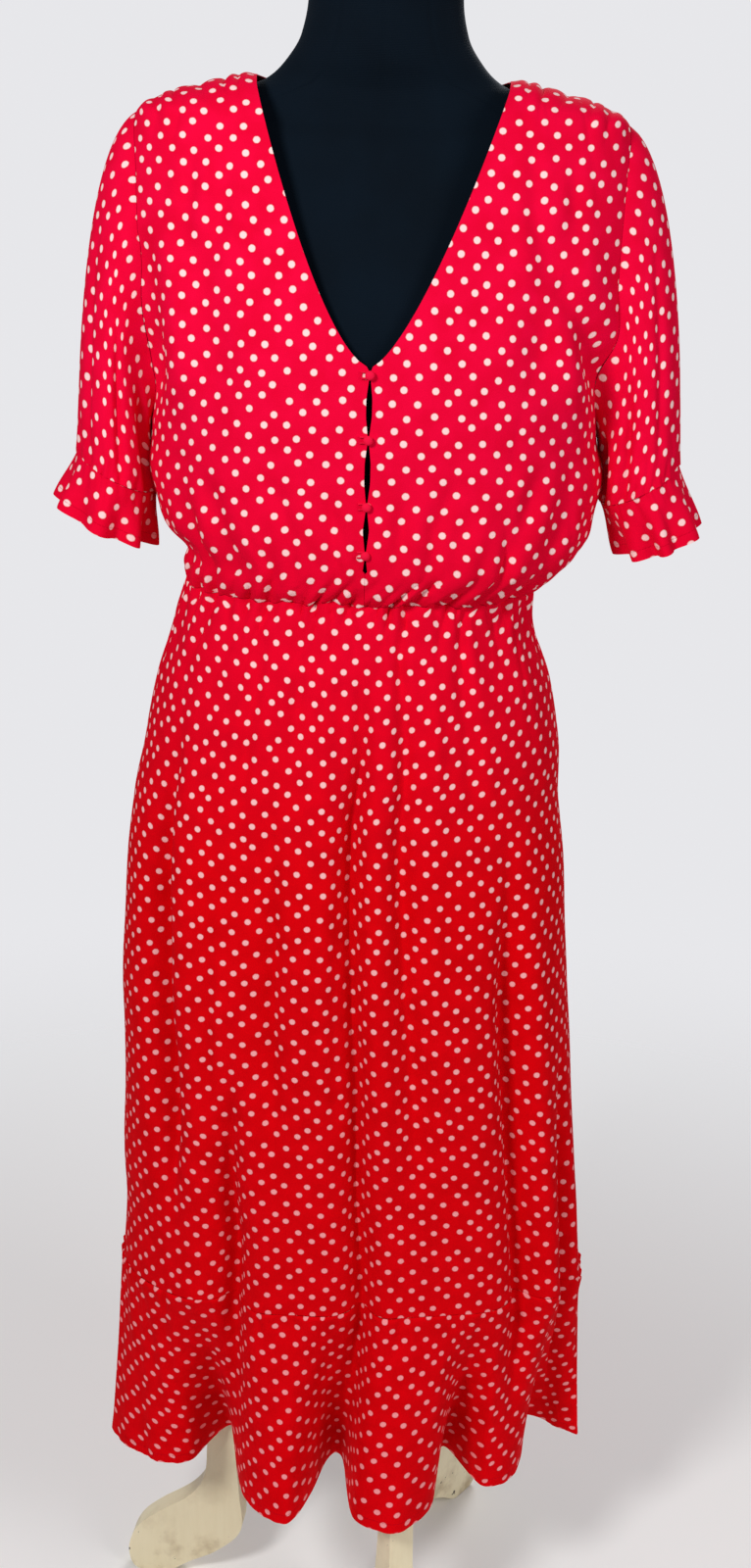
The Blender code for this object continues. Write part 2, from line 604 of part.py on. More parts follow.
def buttons_and_loops(look):
    """Covered buttons on the wearer's left front, each in a fabric loop from the right front."""
    for number, z in enumerate(BUTTON_Z):
        angle = angle_at(SLIT_X, z)
        out = outward(lambda a, h: section(BODICE, a, h), angle, z, 0)
        base = section(BODICE, angle, z) + out * BUTTON_LIFT
        lean = np.arctan2(out[2], -out[1])
        tilt = (pi / 2 - lean, 0, 0)
        head = tuple((wide * BUTTON_R, high * BUTTON_H) for wide, high in BUTTON_SHAPE)
        shank = ((0, 0), (SHANK_R, 0), (SHANK_R, SHANK_TOP * BUTTON_H))
        profile = shank + head + ((0, BUTTON_H),)
        turned("button_%d" % (number + 1), profile, BUTTON_SIDES, Vector(base), tilt, look)
        bend, reach = LOOP_BEND, LOOP_REACH
        line = bpy.data.curves.new("loop_%d" % (number + 1), "CURVE")
        line.dimensions = "3D"
        line.bevel_depth = LOOP_WIRE
        line.bevel_resolution = 1
        line.use_fill_caps = True
        path = [(-reach, bend)] + [(bend * sin(pi * k / 6), bend * cos(pi * k / 6)) for k in range(7)]
        path.append((-reach, -bend))
        spline = line.splines.new("POLY")
        spline.points.add(len(path) - 1)
        for spot, (x, y) in zip(spline.points, path):
            spot.co = (x, y, LOOP_WIRE, 1)
        line.materials.append(look)
        loop = bpy.data.objects.new("loop_%d" % (number + 1), line)
        loop.location = Vector(base)
        loop.rotation_euler = tilt
        bpy.context.scene.collection.objects.link(loop)


def dress_form(look):
    """The padded torso with its neck, in one closed loft."""
    points = []
    for z in FORM["z"]:
        for k in range(FORM_SIDES):
            turn = 2 * pi * k / FORM_SIDES
            depth = read(FORM, "front" if cos(turn) > 0 else "back", z)
            points.append((read(FORM, "half", z) * sin(turn), -depth * cos(turn), z))
    rings = len(FORM["z"])
    faces = []
    for r in range(rings - 1):
        for k in range(FORM_SIDES):
            a, b = r * FORM_SIDES + k, r * FORM_SIDES + (k + 1) % FORM_SIDES
            faces.append((a, b, b + FORM_SIDES, a + FORM_SIDES))
    faces.append(tuple(range(FORM_SIDES)))
    faces.append(tuple((rings - 1) * FORM_SIDES + k for k in range(FORM_SIDES)))
    return body("form_torso", faces, points, look)


def stand(look):
    """Turned pole with its collar, and three sawn cabriole legs."""
    cut = COLLAR_CHAMFER
    profile = ((0, COLLAR_LOW), (COLLAR_R - cut, COLLAR_LOW), (COLLAR_R, COLLAR_LOW + cut),
               (COLLAR_R, COLLAR_TOP - cut), (POLE_R, COLLAR_TOP), (POLE_R, POLE_TOP), (0, POLE_TOP))
    turned("stand_pole", profile, POLE_SIDES, Vector((0, 0, 0)), (0, 0, 0), look)
    for number, turn in enumerate(LEG_ANGLES):
        rows = [dict(zip(LEG_COLUMNS, row)) for row in LEG]
        count = len(rows)
        points = [(row["reach"], y, row["z"]) for y in (-LEG_THICK / 2, LEG_THICK / 2) for row in rows]
        faces = [tuple(range(count)), tuple(range(count, 2 * count))]
        faces += [(k, (k + 1) % count, count + (k + 1) % count, count + k) for k in range(count)]
        leg = body("stand_leg_%d" % (number + 1), faces, points, look)
        leg.rotation_euler = (0, 0, radians(turn))


def centre_on_floor():
    """Moves everything so that the origin is the middle of the underside of the whole box."""
    bpy.context.view_layer.update()
    made = list(bpy.context.scene.objects)
    corners = np.array([thing.matrix_world @ Vector(corner) for thing in made for corner in thing.bound_box])
    low, high = corners.min(axis=0), corners.max(axis=0)
    shift = Vector((-(low[0] + high[0]) / 2, -(low[1] + high[1]) / 2, -low[2]))
    for thing in made:
        thing.location += shift
    print("moved by", [round(value, 5) for value in shift])


def main():
    for old in list(bpy.data.objects):
        bpy.data.objects.remove(old, do_unlink=True)
    cloth = material("printed_crepe", CLOTH_COLOUR, 0.75)
    covered = material("plain_crepe", CLOTH_COLOUR, 0.70)
    jersey = material("black_jersey", JERSEY_COLOUR, 0.90)
    paint = material("cream_paint", PAINT_COLOUR, 0.50)
    front_bodice("front_bodice_right", -1, cloth)
    front_bodice("front_bodice_left", 1, cloth)
    back_bodice(cloth)
    for row in SLEEVES:
        sleeve_and_frill(row, cloth)
    skirt_and_flounce(cloth)
    buttons_and_loops(covered)
    dress_form(jersey)
    stand(paint)
    centre_on_floor()


main()
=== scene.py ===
# %% [markdown]
# # A red dotted maxi dress on a dress form
# This lesson dresses a plain measured model in its real looks. The measured solids give every
# size, and each step below lays thin cloth, knitted cover or painted wood over one of them.
# Blender's units are metres here, the front of the dress faces -Y and +Z is up.

# %% Load the measured model
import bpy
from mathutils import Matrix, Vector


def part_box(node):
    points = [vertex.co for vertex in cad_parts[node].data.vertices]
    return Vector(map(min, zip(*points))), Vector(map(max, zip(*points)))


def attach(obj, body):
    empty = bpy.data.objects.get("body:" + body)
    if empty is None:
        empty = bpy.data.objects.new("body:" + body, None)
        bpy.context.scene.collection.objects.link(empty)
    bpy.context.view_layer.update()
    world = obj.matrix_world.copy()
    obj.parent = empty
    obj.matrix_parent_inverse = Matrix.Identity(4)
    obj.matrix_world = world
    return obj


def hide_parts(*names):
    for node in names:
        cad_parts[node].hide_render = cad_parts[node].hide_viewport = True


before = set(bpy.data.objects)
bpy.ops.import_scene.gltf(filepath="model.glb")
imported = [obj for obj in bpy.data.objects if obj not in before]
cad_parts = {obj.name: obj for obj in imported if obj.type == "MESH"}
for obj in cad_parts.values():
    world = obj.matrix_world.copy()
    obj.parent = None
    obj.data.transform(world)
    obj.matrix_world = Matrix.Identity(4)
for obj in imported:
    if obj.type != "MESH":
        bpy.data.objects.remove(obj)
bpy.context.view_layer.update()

from math import cos, pi, radians, sin
import bmesh
import bpy
import numpy as np
from mathutils import Matrix, Vector


def placed(name, data, look=None, sharp=0):
    """A new object in the scene. A mesh takes its finish, and is smooth but for sharp edges."""
    if look:
        data.materials.append(look)
    if sharp:
        data.shade_smooth()
        data.set_sharp_from_angle(angle=radians(sharp))
    made = bpy.data.objects.new(name, data)
    bpy.context.scene.collection.objects.link(made)
    return made


pole_low, pole_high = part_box("stand_pole")
AXIS_X, AXIS_Y = (pole_low[0] + pole_high[0]) / 2, (pole_low[1] + pole_high[1]) / 2
print("nodes", len(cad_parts), "pole axis", round(AXIS_X, 5), round(AXIS_Y, 5))

# %% [markdown]
# ## Camera
# The picture was taken from the height of the shoulders, near the dress and looking down, so
# the skirt narrows towards the floor. A lens of 45 mm on a 36 mm tall sensor gives the same
# view. The small roll copies the way the camera was held.

# %% Camera
LENS, SENSOR_TALL = 45.0, 36.0
CAMERA_AWAY, CAMERA_HEIGHT, CAMERA_SIDE = 1.68, 1.42, 0.0096
LOOK_DOWN, ROLL = radians(18.0), radians(1.67)
lens = bpy.data.cameras.new("camera")
lens.sensor_fit, lens.sensor_height, lens.lens = "VERTICAL", SENSOR_TALL, LENS
camera = placed("camera", lens)
camera.matrix_world = (Matrix.Translation((AXIS_X + CAMERA_SIDE, AXIS_Y - CAMERA_AWAY, CAMERA_HEIGHT))
                       @ Matrix.Rotation(pi / 2 - LOOK_DOWN, 4, "X") @ Matrix.Rotation(ROLL, 4, "Z"))
bpy.context.scene.camera = camera
print("camera", [round(value, 3) for value in camera.location])

# %% [markdown]
# ## Shader arithmetic
# A finish is a small sum of masks: dots, threads, wear. Written with nodes it becomes a long
# list, so one class wraps a socket and lets a mask be written as arithmetic, such as
# `1 - mask * 0.3`. Every operator adds one Math node. All other nodes come from one method.

# %% Classes for sockets, nodes and finishes
class Wire:
    """An output socket that can be added, subtracted and multiplied."""

    def __init__(self, finish, socket):
        self.finish, self.socket = finish, socket

    def maths(self, operation, first, second):
        return self.finish.node("ShaderNodeMath", {"operation": operation}, {0: first, 1: second})

    def __add__(self, other):
        return self.maths("ADD", self, other)

    def __radd__(self, other):
        return self.maths("ADD", other, self)

    def __sub__(self, other):
        return self.maths("SUBTRACT", self, other)

    def __rsub__(self, other):
        return self.maths("SUBTRACT", other, self)

    def __mul__(self, other):
        return self.maths("MULTIPLY", self, other)

    def __rmul__(self, other):
        return self.maths("MULTIPLY", other, self)


class Nodes:
    """A node tree in which every node comes from one method."""

    def __init__(self, tree):
        self.tree = tree

    def node(self, kind, settings=None, sockets=None, out=0):
        made = self.tree.nodes.new(kind)
        for key, value in (settings or {}).items():
            setattr(made, key, value)
        for key, value in (sockets or {}).items():
            if isinstance(value, Wire):
                self.tree.links.new(value.socket, made.inputs[key])
            else:
                made.inputs[key].default_value = value
        return Wire(self, made.outputs[out])


class Finish(Nodes):
    """A Principled material whose looks are written as expressions."""

    def __init__(self, name, **constants):
        self.material = bpy.data.materials.new(name)
        self.material.use_nodes = True
        super().__init__(self.material.node_tree)
        self.shader = self.tree.nodes["Principled BSDF"]
        for socket, value in constants.items():
            self.shader.inputs[socket.replace("_", " ")].default_value = value

    def step(self, value, start, end):
        """0 at start and 1 at end, eased; start may be the larger one."""
        return self.node("ShaderNodeMapRange", {"interpolation_type": "SMOOTHSTEP"},
                         {"Value": value, "From Min": start, "From Max": end}, "Result")

    def blend(self, mask, first, second):
        """The colour first where mask is 0, second where it is 1."""
        return self.node("ShaderNodeMix", {"data_type": "RGBA"}, {0: mask, 6: first, 7: second}, 2)

    def noise(self, where, scale, detail=2.0, roughness=0.5):
        return self.node("ShaderNodeTexNoise", {}, {"Vector": where, "Scale": scale, "Detail": detail,
                                                    "Roughness": roughness}, "Fac")

    def uv(self, layer):
        return self.node("ShaderNodeUVMap", {"uv_map": layer}, {}, "UV")

    def place(self):
        return self.node("ShaderNodeTexCoord", {}, {}, "Object")

    def part(self, vector, axis):
        return self.node("ShaderNodeSeparateXYZ", {}, {0: vector}, axis)

    def wire(self, socket, wire):
        self.tree.links.new(wire.socket, self.shader.inputs[socket])

    def bump(self, height, distance, strength=1.0):
        self.wire("Normal", self.node("ShaderNodeBump", {}, {"Strength": strength, "Distance": distance,
                                                             "Height": height}, "Normal"))


print("shader classes ready")

# %% [markdown]
# ## Room
# One pale floor that fades into pale daylight, and large soft lamps. The main lamp stands in front,
# left of the camera and above the shoulders, so the cloth is brightest there and darker towards the
# hem, and each long fold has a bright and a dark side.

# %% Floor, daylight and lamps
def lamp(name, place, target, size, power):
    light = bpy.data.lights.new(name, "AREA")
    light.shape, light.size, light.energy = "DISK", size, power
    thing = placed(name, light)
    thing.location, thing.visible_camera = place, False
    thing.rotation_euler = (Vector(target) - Vector(place)).to_track_quat("-Z", "Y").to_euler()


FLOOR_HALF, FLOOR_FADE = 9, (1.9, 0.45)
# Colour and strength of the light, and of the wall that only the camera sees
DAYLIGHT, WALL = ((0.95, 0.96, 1.0, 1), 0.25), ((0.80, 0.80, 0.825, 1), 1.0)
# Lamps: name, place, the point each is turned to, size and power
LAMPS = (
    ("window", (-0.95, -1.60, 2.05), (0, 0, 1.15), 0.5, 30),
    ("fill", (1.5, -1.5, 1.7), (0, 0, 1.1), 1.0, 17),
    ("rear", (0.6, 2.2, 2.4), (0, 0, 1.0), 1.2, 34),
)
pale_floor = Finish("pale_floor", Base_Color=(0.90, 0.89, 0.88, 1), Roughness=0.8)
reach = pale_floor.node("ShaderNodeVectorMath", {"operation": "LENGTH"}, {0: pale_floor.place()}, "Value")
pale_floor.wire("Alpha", pale_floor.step(reach, *FLOOR_FADE))
mesh = bpy.data.meshes.new("floor")
mesh.from_pydata([(x * FLOOR_HALF, y * FLOOR_HALF, 0) for x, y in ((-1, -1), (1, -1), (1, 1), (-1, 1))],
                 [], [(0, 1, 2, 3)])
floor = placed("floor", mesh, pale_floor.material)
floor.location.z = -0.0005

# The camera sees an even pale wall, and the light comes from a fainter daylight.
world = bpy.data.worlds.new("daylight")
world.use_nodes = True
sky = Nodes(world.node_tree)
sky.tree.nodes.remove(sky.tree.nodes["Background"])
daylight, seen = (sky.node("ShaderNodeBackground", {}, {"Color": colour, "Strength": strength})
                  for colour, strength in (DAYLIGHT, WALL))
for_camera = sky.node("ShaderNodeLightPath", {}, {}, "Is Camera Ray")
choice = sky.node("ShaderNodeMixShader", {}, {0: for_camera, 1: daylight, 2: seen})
sky.tree.links.new(choice.socket, sky.tree.nodes["World Output"].inputs["Surface"])
bpy.context.scene.world = world
bpy.context.scene.view_settings.view_transform = "Standard"
for row in LAMPS:
    lamp(*row)

# %% [markdown]
# ## Printed crepe
# The cloth is a soft matt crepe with cream dots on crimson. Its dots stay round on the cloth,
# so they are drawn in the flat cut's own metres, which every piece carries as the map "cut".
# A Voronoi texture gives one soft round distance to each dot, and turning it by 45 degrees sets
# the dots in the staggered rows of an ordinary polka dot. A second map, "edge", holds the
# distance to a sewn edge, for the row of stitches along each hem. Towards the hem the red is
# painted darker and warmer, a painted shade for the light that falls off lower down, and the dots deepen to
# rose.

# %% Printed crepe
DOT_PITCH, DOT_RADIUS, DOT_SCATTER = 0.0149, 0.00275, 0.30
CRIMSON, CRIMSON_DEEP = (0.86, 0.0016, 0.044, 1), (0.78, 0.0010, 0.032, 1)
# The scarlets are the crimsons painted darker and warmer: painted shade towards the hem, where less light
# falls
SHADED_SCARLET, SHADED_SCARLET_DEEP = (0.78, 0.0004, 0.0036, 1), (0.675, 0.0003, 0.0026, 1)
DOT_CREAM, DOT_ROSE = (0.96, 0.68, 0.66, 1), (0.95, 0.33, 0.34, 1)
# Shades between the threads, round a dot and at a stitch, and the lighter red of plain crepe
THREAD_SHADE, DOT_SHADE, STITCH_SHADE = (0.40, 0.0, 0.008, 1), (0.36, 0.0, 0.012, 1), (0.42, 0.0, 0.010, 1)
PLAIN_RED = (0.90, 0.020, 0.080, 1)
# Scales of the noises, in waves for each metre of cloth
MOTTLE, PEBBLE, CRINKLE, DOT_NOISE = 38.0, 1500.0, 420.0, 700.0
# Heights between which the red turns into painted shade, darker and warmer towards the hem, and the dots
# turn rosy
RED_SHADE_HEIGHTS, DOT_CHANGE = (1.33, 0.83), (1.32, 0.28)
# The row of stitches: distance from the edge, and half the length of a stitch
STITCH_IN, STITCH_LONG = 0.009, 0.0016


def crepe(name, dotted):
    """Matt crepe: pebbled threads, faint mottling, dots if dotted, stitches near a sewn edge."""
    cloth = Finish(name, Specular_IOR_Level=0.02, Sheen_Weight=0.03, Sheen_Roughness=0.5,
                   Sheen_Tint=(1.0, 0.10, 0.20, 1))
    flat = cloth.uv("cut")
    edge = cloth.uv("edge")
    along, away = cloth.part(edge, "X"), cloth.part(edge, "Y")
    mottle = cloth.noise(flat, MOTTLE, 3.0)
    pebble = cloth.noise(flat, PEBBLE, 2.0, 0.7)
    crinkle = cloth.noise(flat, CRINKLE, 3.0, 0.6)
    height = cloth.part(cloth.place(), "Z")
    # Painted shade: the red is painted darker and warmer towards the hem, where less light falls
    hem_shade = cloth.step(height + mottle * 0.10, *RED_SHADE_HEIGHTS)
    colour = cloth.blend(cloth.step(mottle, 0.30, 0.72), cloth.blend(hem_shade, CRIMSON, SHADED_SCARLET),
                         cloth.blend(hem_shade, CRIMSON_DEEP, SHADED_SCARLET_DEEP))
    colour = cloth.blend(cloth.step(pebble, 0.62, 0.30) * 0.22, colour, THREAD_SHADE)
    if dotted:
        turned = cloth.node("ShaderNodeMapping", {}, {"Vector": flat, "Rotation": (0, 0, pi / 4)})
        uneven = cloth.noise(flat, DOT_NOISE, 1.0) * 0.035
        spot = cloth.node("ShaderNodeTexVoronoi", {"voronoi_dimensions": "2D"},
                          {"Vector": turned, "Scale": 1 / DOT_PITCH, "Randomness": DOT_SCATTER}, "Distance")
        rim = DOT_RADIUS / DOT_PITCH
        dot = cloth.step(spot + uneven, rim + 0.055, rim - 0.015)
        halo = cloth.step(spot + uneven, rim + 0.115, rim + 0.035)
        worn = cloth.step(pebble, 0.25, 0.60) * 0.18 + 0.82
        colour = cloth.blend(halo * 0.30, colour, DOT_SHADE)
        rosy = cloth.step(height, *DOT_CHANGE)
        colour = cloth.blend(dot * worn, colour, cloth.blend(rosy, DOT_CREAM, DOT_ROSE))
    else:
        colour = cloth.blend(0.30, colour, PLAIN_RED)
    thread = cloth.node("ShaderNodeMath", {"operation": "PINGPONG"}, {0: along, 1: STITCH_LONG})
    on_line = cloth.step(cloth.node("ShaderNodeMath", {"operation": "ABSOLUTE"}, {0: away - STITCH_IN}),
                         0.0006, 0.0002)
    stitch = on_line * cloth.step(thread, 0.00035, 0.0006)
    colour = cloth.blend(stitch * 0.45, colour, STITCH_SHADE)
    cloth.wire("Base Color", colour)
    cloth.wire("Roughness", 0.70 + crinkle * 0.22)
    cloth.bump(pebble * 0.35 + crinkle * 0.8 - on_line * 0.8 + stitch * 1.2, 0.00030, 0.75)
    return cloth.material


printed_crepe = crepe("printed_crepe", True)
plain_crepe = crepe("plain_crepe", False)
print("crepe nodes", len(printed_crepe.node_tree.nodes))

# %% [markdown]
# ## Knitted cover and painted wood
# The form has a black jersey cover: fine ribs and a little fluff. The stand is wood under thick
# cream paint, brushed lengthwise, with grime and a few chips that gather near the floor.

# %% Jersey and paint
JERSEY_DARK, JERSEY_LIGHT = (0.0006, 0.0030, 0.0066, 1), (0.0012, 0.0058, 0.0125, 1)
PAINT_LIGHT, PAINT_DARK = (0.88, 0.78, 0.54, 1), (0.80, 0.69, 0.44, 1)
GRIME_BROWN, BARE_CHIP = (0.40, 0.27, 0.13, 1), (0.060, 0.050, 0.045, 1)
jersey = Finish("black_jersey", Specular_IOR_Level=0.10, Sheen_Weight=0.06, Sheen_Roughness=0.4,
                Sheen_Tint=(0.35, 0.55, 0.75, 1))
spot = jersey.place()
ribs = jersey.node("ShaderNodeTexWave", {"bands_direction": "Z"},
                   {"Vector": spot, "Scale": 260.0, "Distortion": 1.2, "Detail": 1.0}, "Fac")
fluff = jersey.noise(spot, 900.0, 3.0, 0.7)
cloudy = jersey.noise(spot, 14.0, 3.0)
jersey.wire("Base Color", jersey.blend(jersey.step(cloudy, 0.25, 0.8) * 0.6 + fluff * 0.3,
                                       JERSEY_DARK, JERSEY_LIGHT))
jersey.wire("Roughness", 0.78 + fluff * 0.2)
jersey.bump(ribs * 0.6 + fluff * 0.6, 0.0003, 0.6)
black_jersey = jersey.material

paint = Finish("cream_paint", Specular_IOR_Level=0.45)
spot = paint.place()
stroke = paint.node("ShaderNodeMapping", {}, {"Vector": spot, "Scale": (1.0, 1.0, 0.16)})
brushed = paint.noise(stroke, 520.0, 3.0, 0.6)
grain = paint.noise(stroke, 150.0, 4.0, 0.6)
patch = paint.noise(spot, 26.0, 4.0, 0.6)
height = paint.part(spot, "Z")
low = paint.step(height, 0.075, 0.015)
chip = paint.step(paint.noise(spot, 90.0, 3.0, 0.65) + low * 0.060, 0.722, 0.745)
grime = paint.step(patch, 0.46, 0.72) * (low * 0.55 + 0.16)
colour = paint.blend(paint.step(grain, 0.3, 0.75) * 0.35, PAINT_LIGHT, PAINT_DARK)
colour = paint.blend(grime, colour, GRIME_BROWN)
colour = paint.blend(chip, colour, BARE_CHIP)
paint.wire("Base Color", colour)
paint.wire("Roughness", 0.42 + brushed * 0.16 + chip * 0.3)
paint.bump(brushed * 0.4 + grain * 0.5 - chip * 1.6, 0.0004, 0.7)
cream_paint = paint.material
print("finishes", [item.name for item in bpy.data.materials])

# %% [markdown]
# ## Sizes of the cut
# The same tables that shaped the solids, so that the fine cloth lies on them. Each body table
# gives half width, sideways shift and depth in front and behind at a height.

# %% Tables of the dress
WAIST_Z, FLOUNCE_Z, HEM_Z = 1.062, 0.395, 0.192
V_POINT_Z, NECK_Z, NECK_HALF, TIP_Z, NAPE_Z = 1.256, 1.473, 0.102, 1.442, 1.458
UNDERARM_Z, ARMHOLE_DEPTH = 1.195, 0.050
SLIT_X, SLIT_HALF, SLIT_END_Z, BUTTON_PINCH = -0.004, 0.0021, 1.092, 0.018
NECK_BOW = {-1: 0.63, 1: 0.70}
SEAM, SQUARENESS, LEVEL_REACH = 0.0003, 0.05, 0.020
BODICE = {
    "z": (1.062, 1.075, 1.092, 1.120, 1.145, 1.195, 1.250, 1.310, 1.370, 1.410, 1.442, 1.458, 1.467, 1.473),
    "half": (0.144, 0.157, 0.170, 0.183, 0.185, 0.187, 0.198, 0.208, 0.211, 0.208, 0.200, 0.163, 0.130,
             0.102),
    "shift": (-0.009, -0.001, 0.009, 0.004, 0.003, 0, 0, 0, 0, 0, 0, 0, 0, 0),
    "front": (0.105, 0.116, 0.123, 0.126, 0.126, 0.127, 0.124, 0.113, 0.099, 0.087, 0.074, 0.066, 0.061,
              0.057),
    "back": (0.093, 0.103, 0.108, 0.108, 0.107, 0.106, 0.108, 0.108, 0.101, 0.091, 0.078, 0.070, 0.065,
             0.061),
}
SKIRT = {
    "z": (0.395, 0.450, 0.511, 0.574, 0.635, 0.695, 0.753, 0.810, 0.870, 0.923, 0.978, 1.030, 1.062),
    "half": (0.220, 0.216, 0.214, 0.210, 0.2075, 0.205, 0.201, 0.1975, 0.190, 0.183, 0.1715, 0.153, 0.144),
    "shift": (-0.001, -0.002, -0.006, -0.008, -0.0105, -0.014, -0.015, -0.0155, -0.016, -0.012, -0.012,
              -0.013, -0.009),
    "front": (0.112, 0.113, 0.115, 0.118, 0.121, 0.124, 0.126, 0.127, 0.127, 0.124, 0.119, 0.111, 0.105),
    "back": (0.138, 0.138, 0.138, 0.138, 0.138, 0.138, 0.138, 0.137, 0.134, 0.127, 0.116, 0.103, 0.093),
}
# Long folds: angle at the waist and at the flounce, start height, depth, width in degrees, fade
FOLDS = (
    (-54, -44, 0.97, 0.015, 7.0, 0.52), (-30, -29, 0.66, 0.020, 7.0, 0.00),
    (-19, -17, 0.93, 0.008, 5.5, 0.60), (2, 3, 1.04, 0.016, 5.5, 0.00),
    (14, 18, 1.03, 0.009, 5.5, 0.56), (43, 46, 0.86, 0.019, 8.0, 0.00),
    (68, 65, 0.66, 0.012, 6.5, 0.00), (112, 116, 0.90, 0.015, 8.0, 0.00),
    (139, 143, 1.00, 0.012, 7.0, 0.00), (166, 168, 1.03, 0.016, 7.0, 0.00),
    (193, 196, 0.98, 0.014, 7.0, 0.00), (221, 219, 1.02, 0.012, 7.0, 0.00),
    (247, 243, 0.88, 0.017, 8.0, 0.00),
)
FOLD_START, FOLD_END, FOLD_RIM, FOLD_SPREAD = 0.22, 0.16, 0.35, 2.6
# Waves of the hem: angle on the seam above, and place of the hem
WAVES = (
    (-90, -0.236, 0.000), (-70, -0.205, -0.056), (-52, -0.154, -0.062), (-37, -0.121, -0.016),
    (-26, -0.091, -0.112), (-17, -0.063, -0.148), (-8, -0.032, -0.112), (0, -0.006, -0.047),
    (7, 0.008, -0.127), (15, 0.046, -0.160), (23, 0.079, -0.113), (31, 0.100, -0.045),
    (40, 0.136, -0.086), (48, 0.164, -0.066), (58, 0.187, 0.018), (73, 0.213, 0.008),
    (90, 0.233, 0.000), (106, 0.206, 0.050), (118, 0.176, 0.046), (131, 0.142, 0.122),
    (143, 0.106, 0.154), (154, 0.066, 0.148), (165, 0.030, 0.098), (178, -0.002, 0.158),
    (192, -0.040, 0.092), (206, -0.074, 0.154), (220, -0.110, 0.084), (234, -0.146, 0.118),
    (246, -0.178, 0.044), (257, -0.208, 0.048),
)
WAVE_GROWTH = 1.15
# Sleeves: side, outer and inner end of the cuff seam, and of the frill's edge
SLEEVES = {
    "right": (-1, (0.2505, 1.170), (0.1870, 1.135), (0.2690, 1.127), (0.1890, 1.090)),
    "left": (1, (0.2585, 1.173), (0.1965, 1.135), (0.2790, 1.117), (0.2150, 1.092)),
}
CUFF_DEPTH, FRILL_DEPTH = 0.060, 0.069
SLEEVE_LEAVE = ((0.022, 0, -0.034), (0.135, 0, -0.075))
SLEEVE_ARRIVE = ((0.020, 0, -0.055), (-0.004, 0, -0.150))
BUTTON_Z = (1.250, 1.200, 1.147, 1.108)
print("folds", len(FOLDS), "hem waves", len(WAVES))

# %% [markdown]
# ## Curves and surfaces
# The body is a stack of level sections that are a little fuller than an ellipse. NumPy works
# out all points of a piece at once, which keeps a fine cloth quick to build.

# %% Curves through the tables
HALVINGS = 36                 # enough to reach the last digit that a point can hold


def ease(value):
    value = np.clip(value, 0.0, 1.0)
    return value * value * (3 - 2 * value)


def bell(value):
    return np.exp(-value ** 2)


def unit(way):
    """Directions of length 1."""
    return way / np.linalg.norm(way, axis=-1, keepdims=True)


def mix(first, second, share):
    return first + (second - first) * share


def curve(start, end, leave, arrive, t):
    """Cubic from start to end with a given way of leaving and arriving."""
    return ((1 + 2 * t) * (1 - t) ** 2 * start + t * (1 - t) ** 2 * leave
            + t * t * (3 - 2 * t) * end + t * t * (t - 1) * arrive)


def read(table, column, z):
    """Column of a table at heights z, on a curve that keeps between its rows."""
    heights, values = np.array(table["z"]), np.array(table[column], float)
    z = np.clip(z, heights[0], heights[-1])
    row = np.clip(np.searchsorted(heights, z, side="right") - 1, 0, len(heights) - 2)
    slopes = np.diff(values) / np.diff(heights)
    before, after = slopes[:-1], slopes[1:]
    total = np.where(before * after > 0, before + after, 1)
    middle = np.where(before * after > 0, 2 * before * after / total, 0)
    tangents = np.concatenate((slopes[:1], middle, slopes[-1:]))
    step = heights[row + 1] - heights[row]
    return curve(values[row], values[row + 1], step * tangents[row], step * tangents[row + 1],
                 (z - heights[row]) / step)


def section(table, angle, z):
    """Points of the plain sections; angle 0 is the front and 90 the wearer's left."""
    turn = np.radians(angle)
    grow = 1 + SQUARENESS * np.sin(2 * turn) ** 2
    depth = np.where(np.cos(turn) > 0, read(table, "front", z), read(table, "back", z))
    x = read(table, "shift", z) + read(table, "half", z) * np.sin(turn) * grow
    return np.stack(np.broadcast_arrays(x, -depth * np.cos(turn) * grow, z), axis=-1)


def level_out(table, angle, z):
    """Level outward direction of a section."""
    along = section(table, angle + 0.5, z) - section(table, angle - 0.5, z)
    out = np.stack((along[..., 1], -along[..., 0], 0 * along[..., 0]), axis=-1)
    return unit(out)


def halving(test, low, high):
    """Search by halves for the place where test turns from true to false."""
    for _ in range(HALVINGS):
        half = (low + high) / 2
        inside = test(half)
        low, high = np.where(inside, half, low), np.where(inside, high, half)
    return (low + high) / 2


print("waist half width", float(read(SKIRT, "half", WAIST_Z)))

# %% [markdown]
# ## Thin cloth
# Each piece is a grid of points with a second layer just inside it, closed at its edges. The
# maps hold metres of flat cloth, so a dot has the same size on every piece.

# %% Shell of cloth from a grid
THICK = 0.0008
FAR_EDGE = 1.0                # distance to a hem that the map "edge" gives where no hem is near


def directions(grid, ring=False):
    """Outward unit directions of a grid whose columns run round a body."""
    if ring:
        along = np.roll(grid, -1, axis=1) - np.roll(grid, 1, axis=1)
    else:
        along = np.gradient(grid, axis=1)
    out = np.cross(along, np.gradient(grid, axis=0))
    return out / np.maximum(np.linalg.norm(out, axis=-1, keepdims=True), 1e-12)


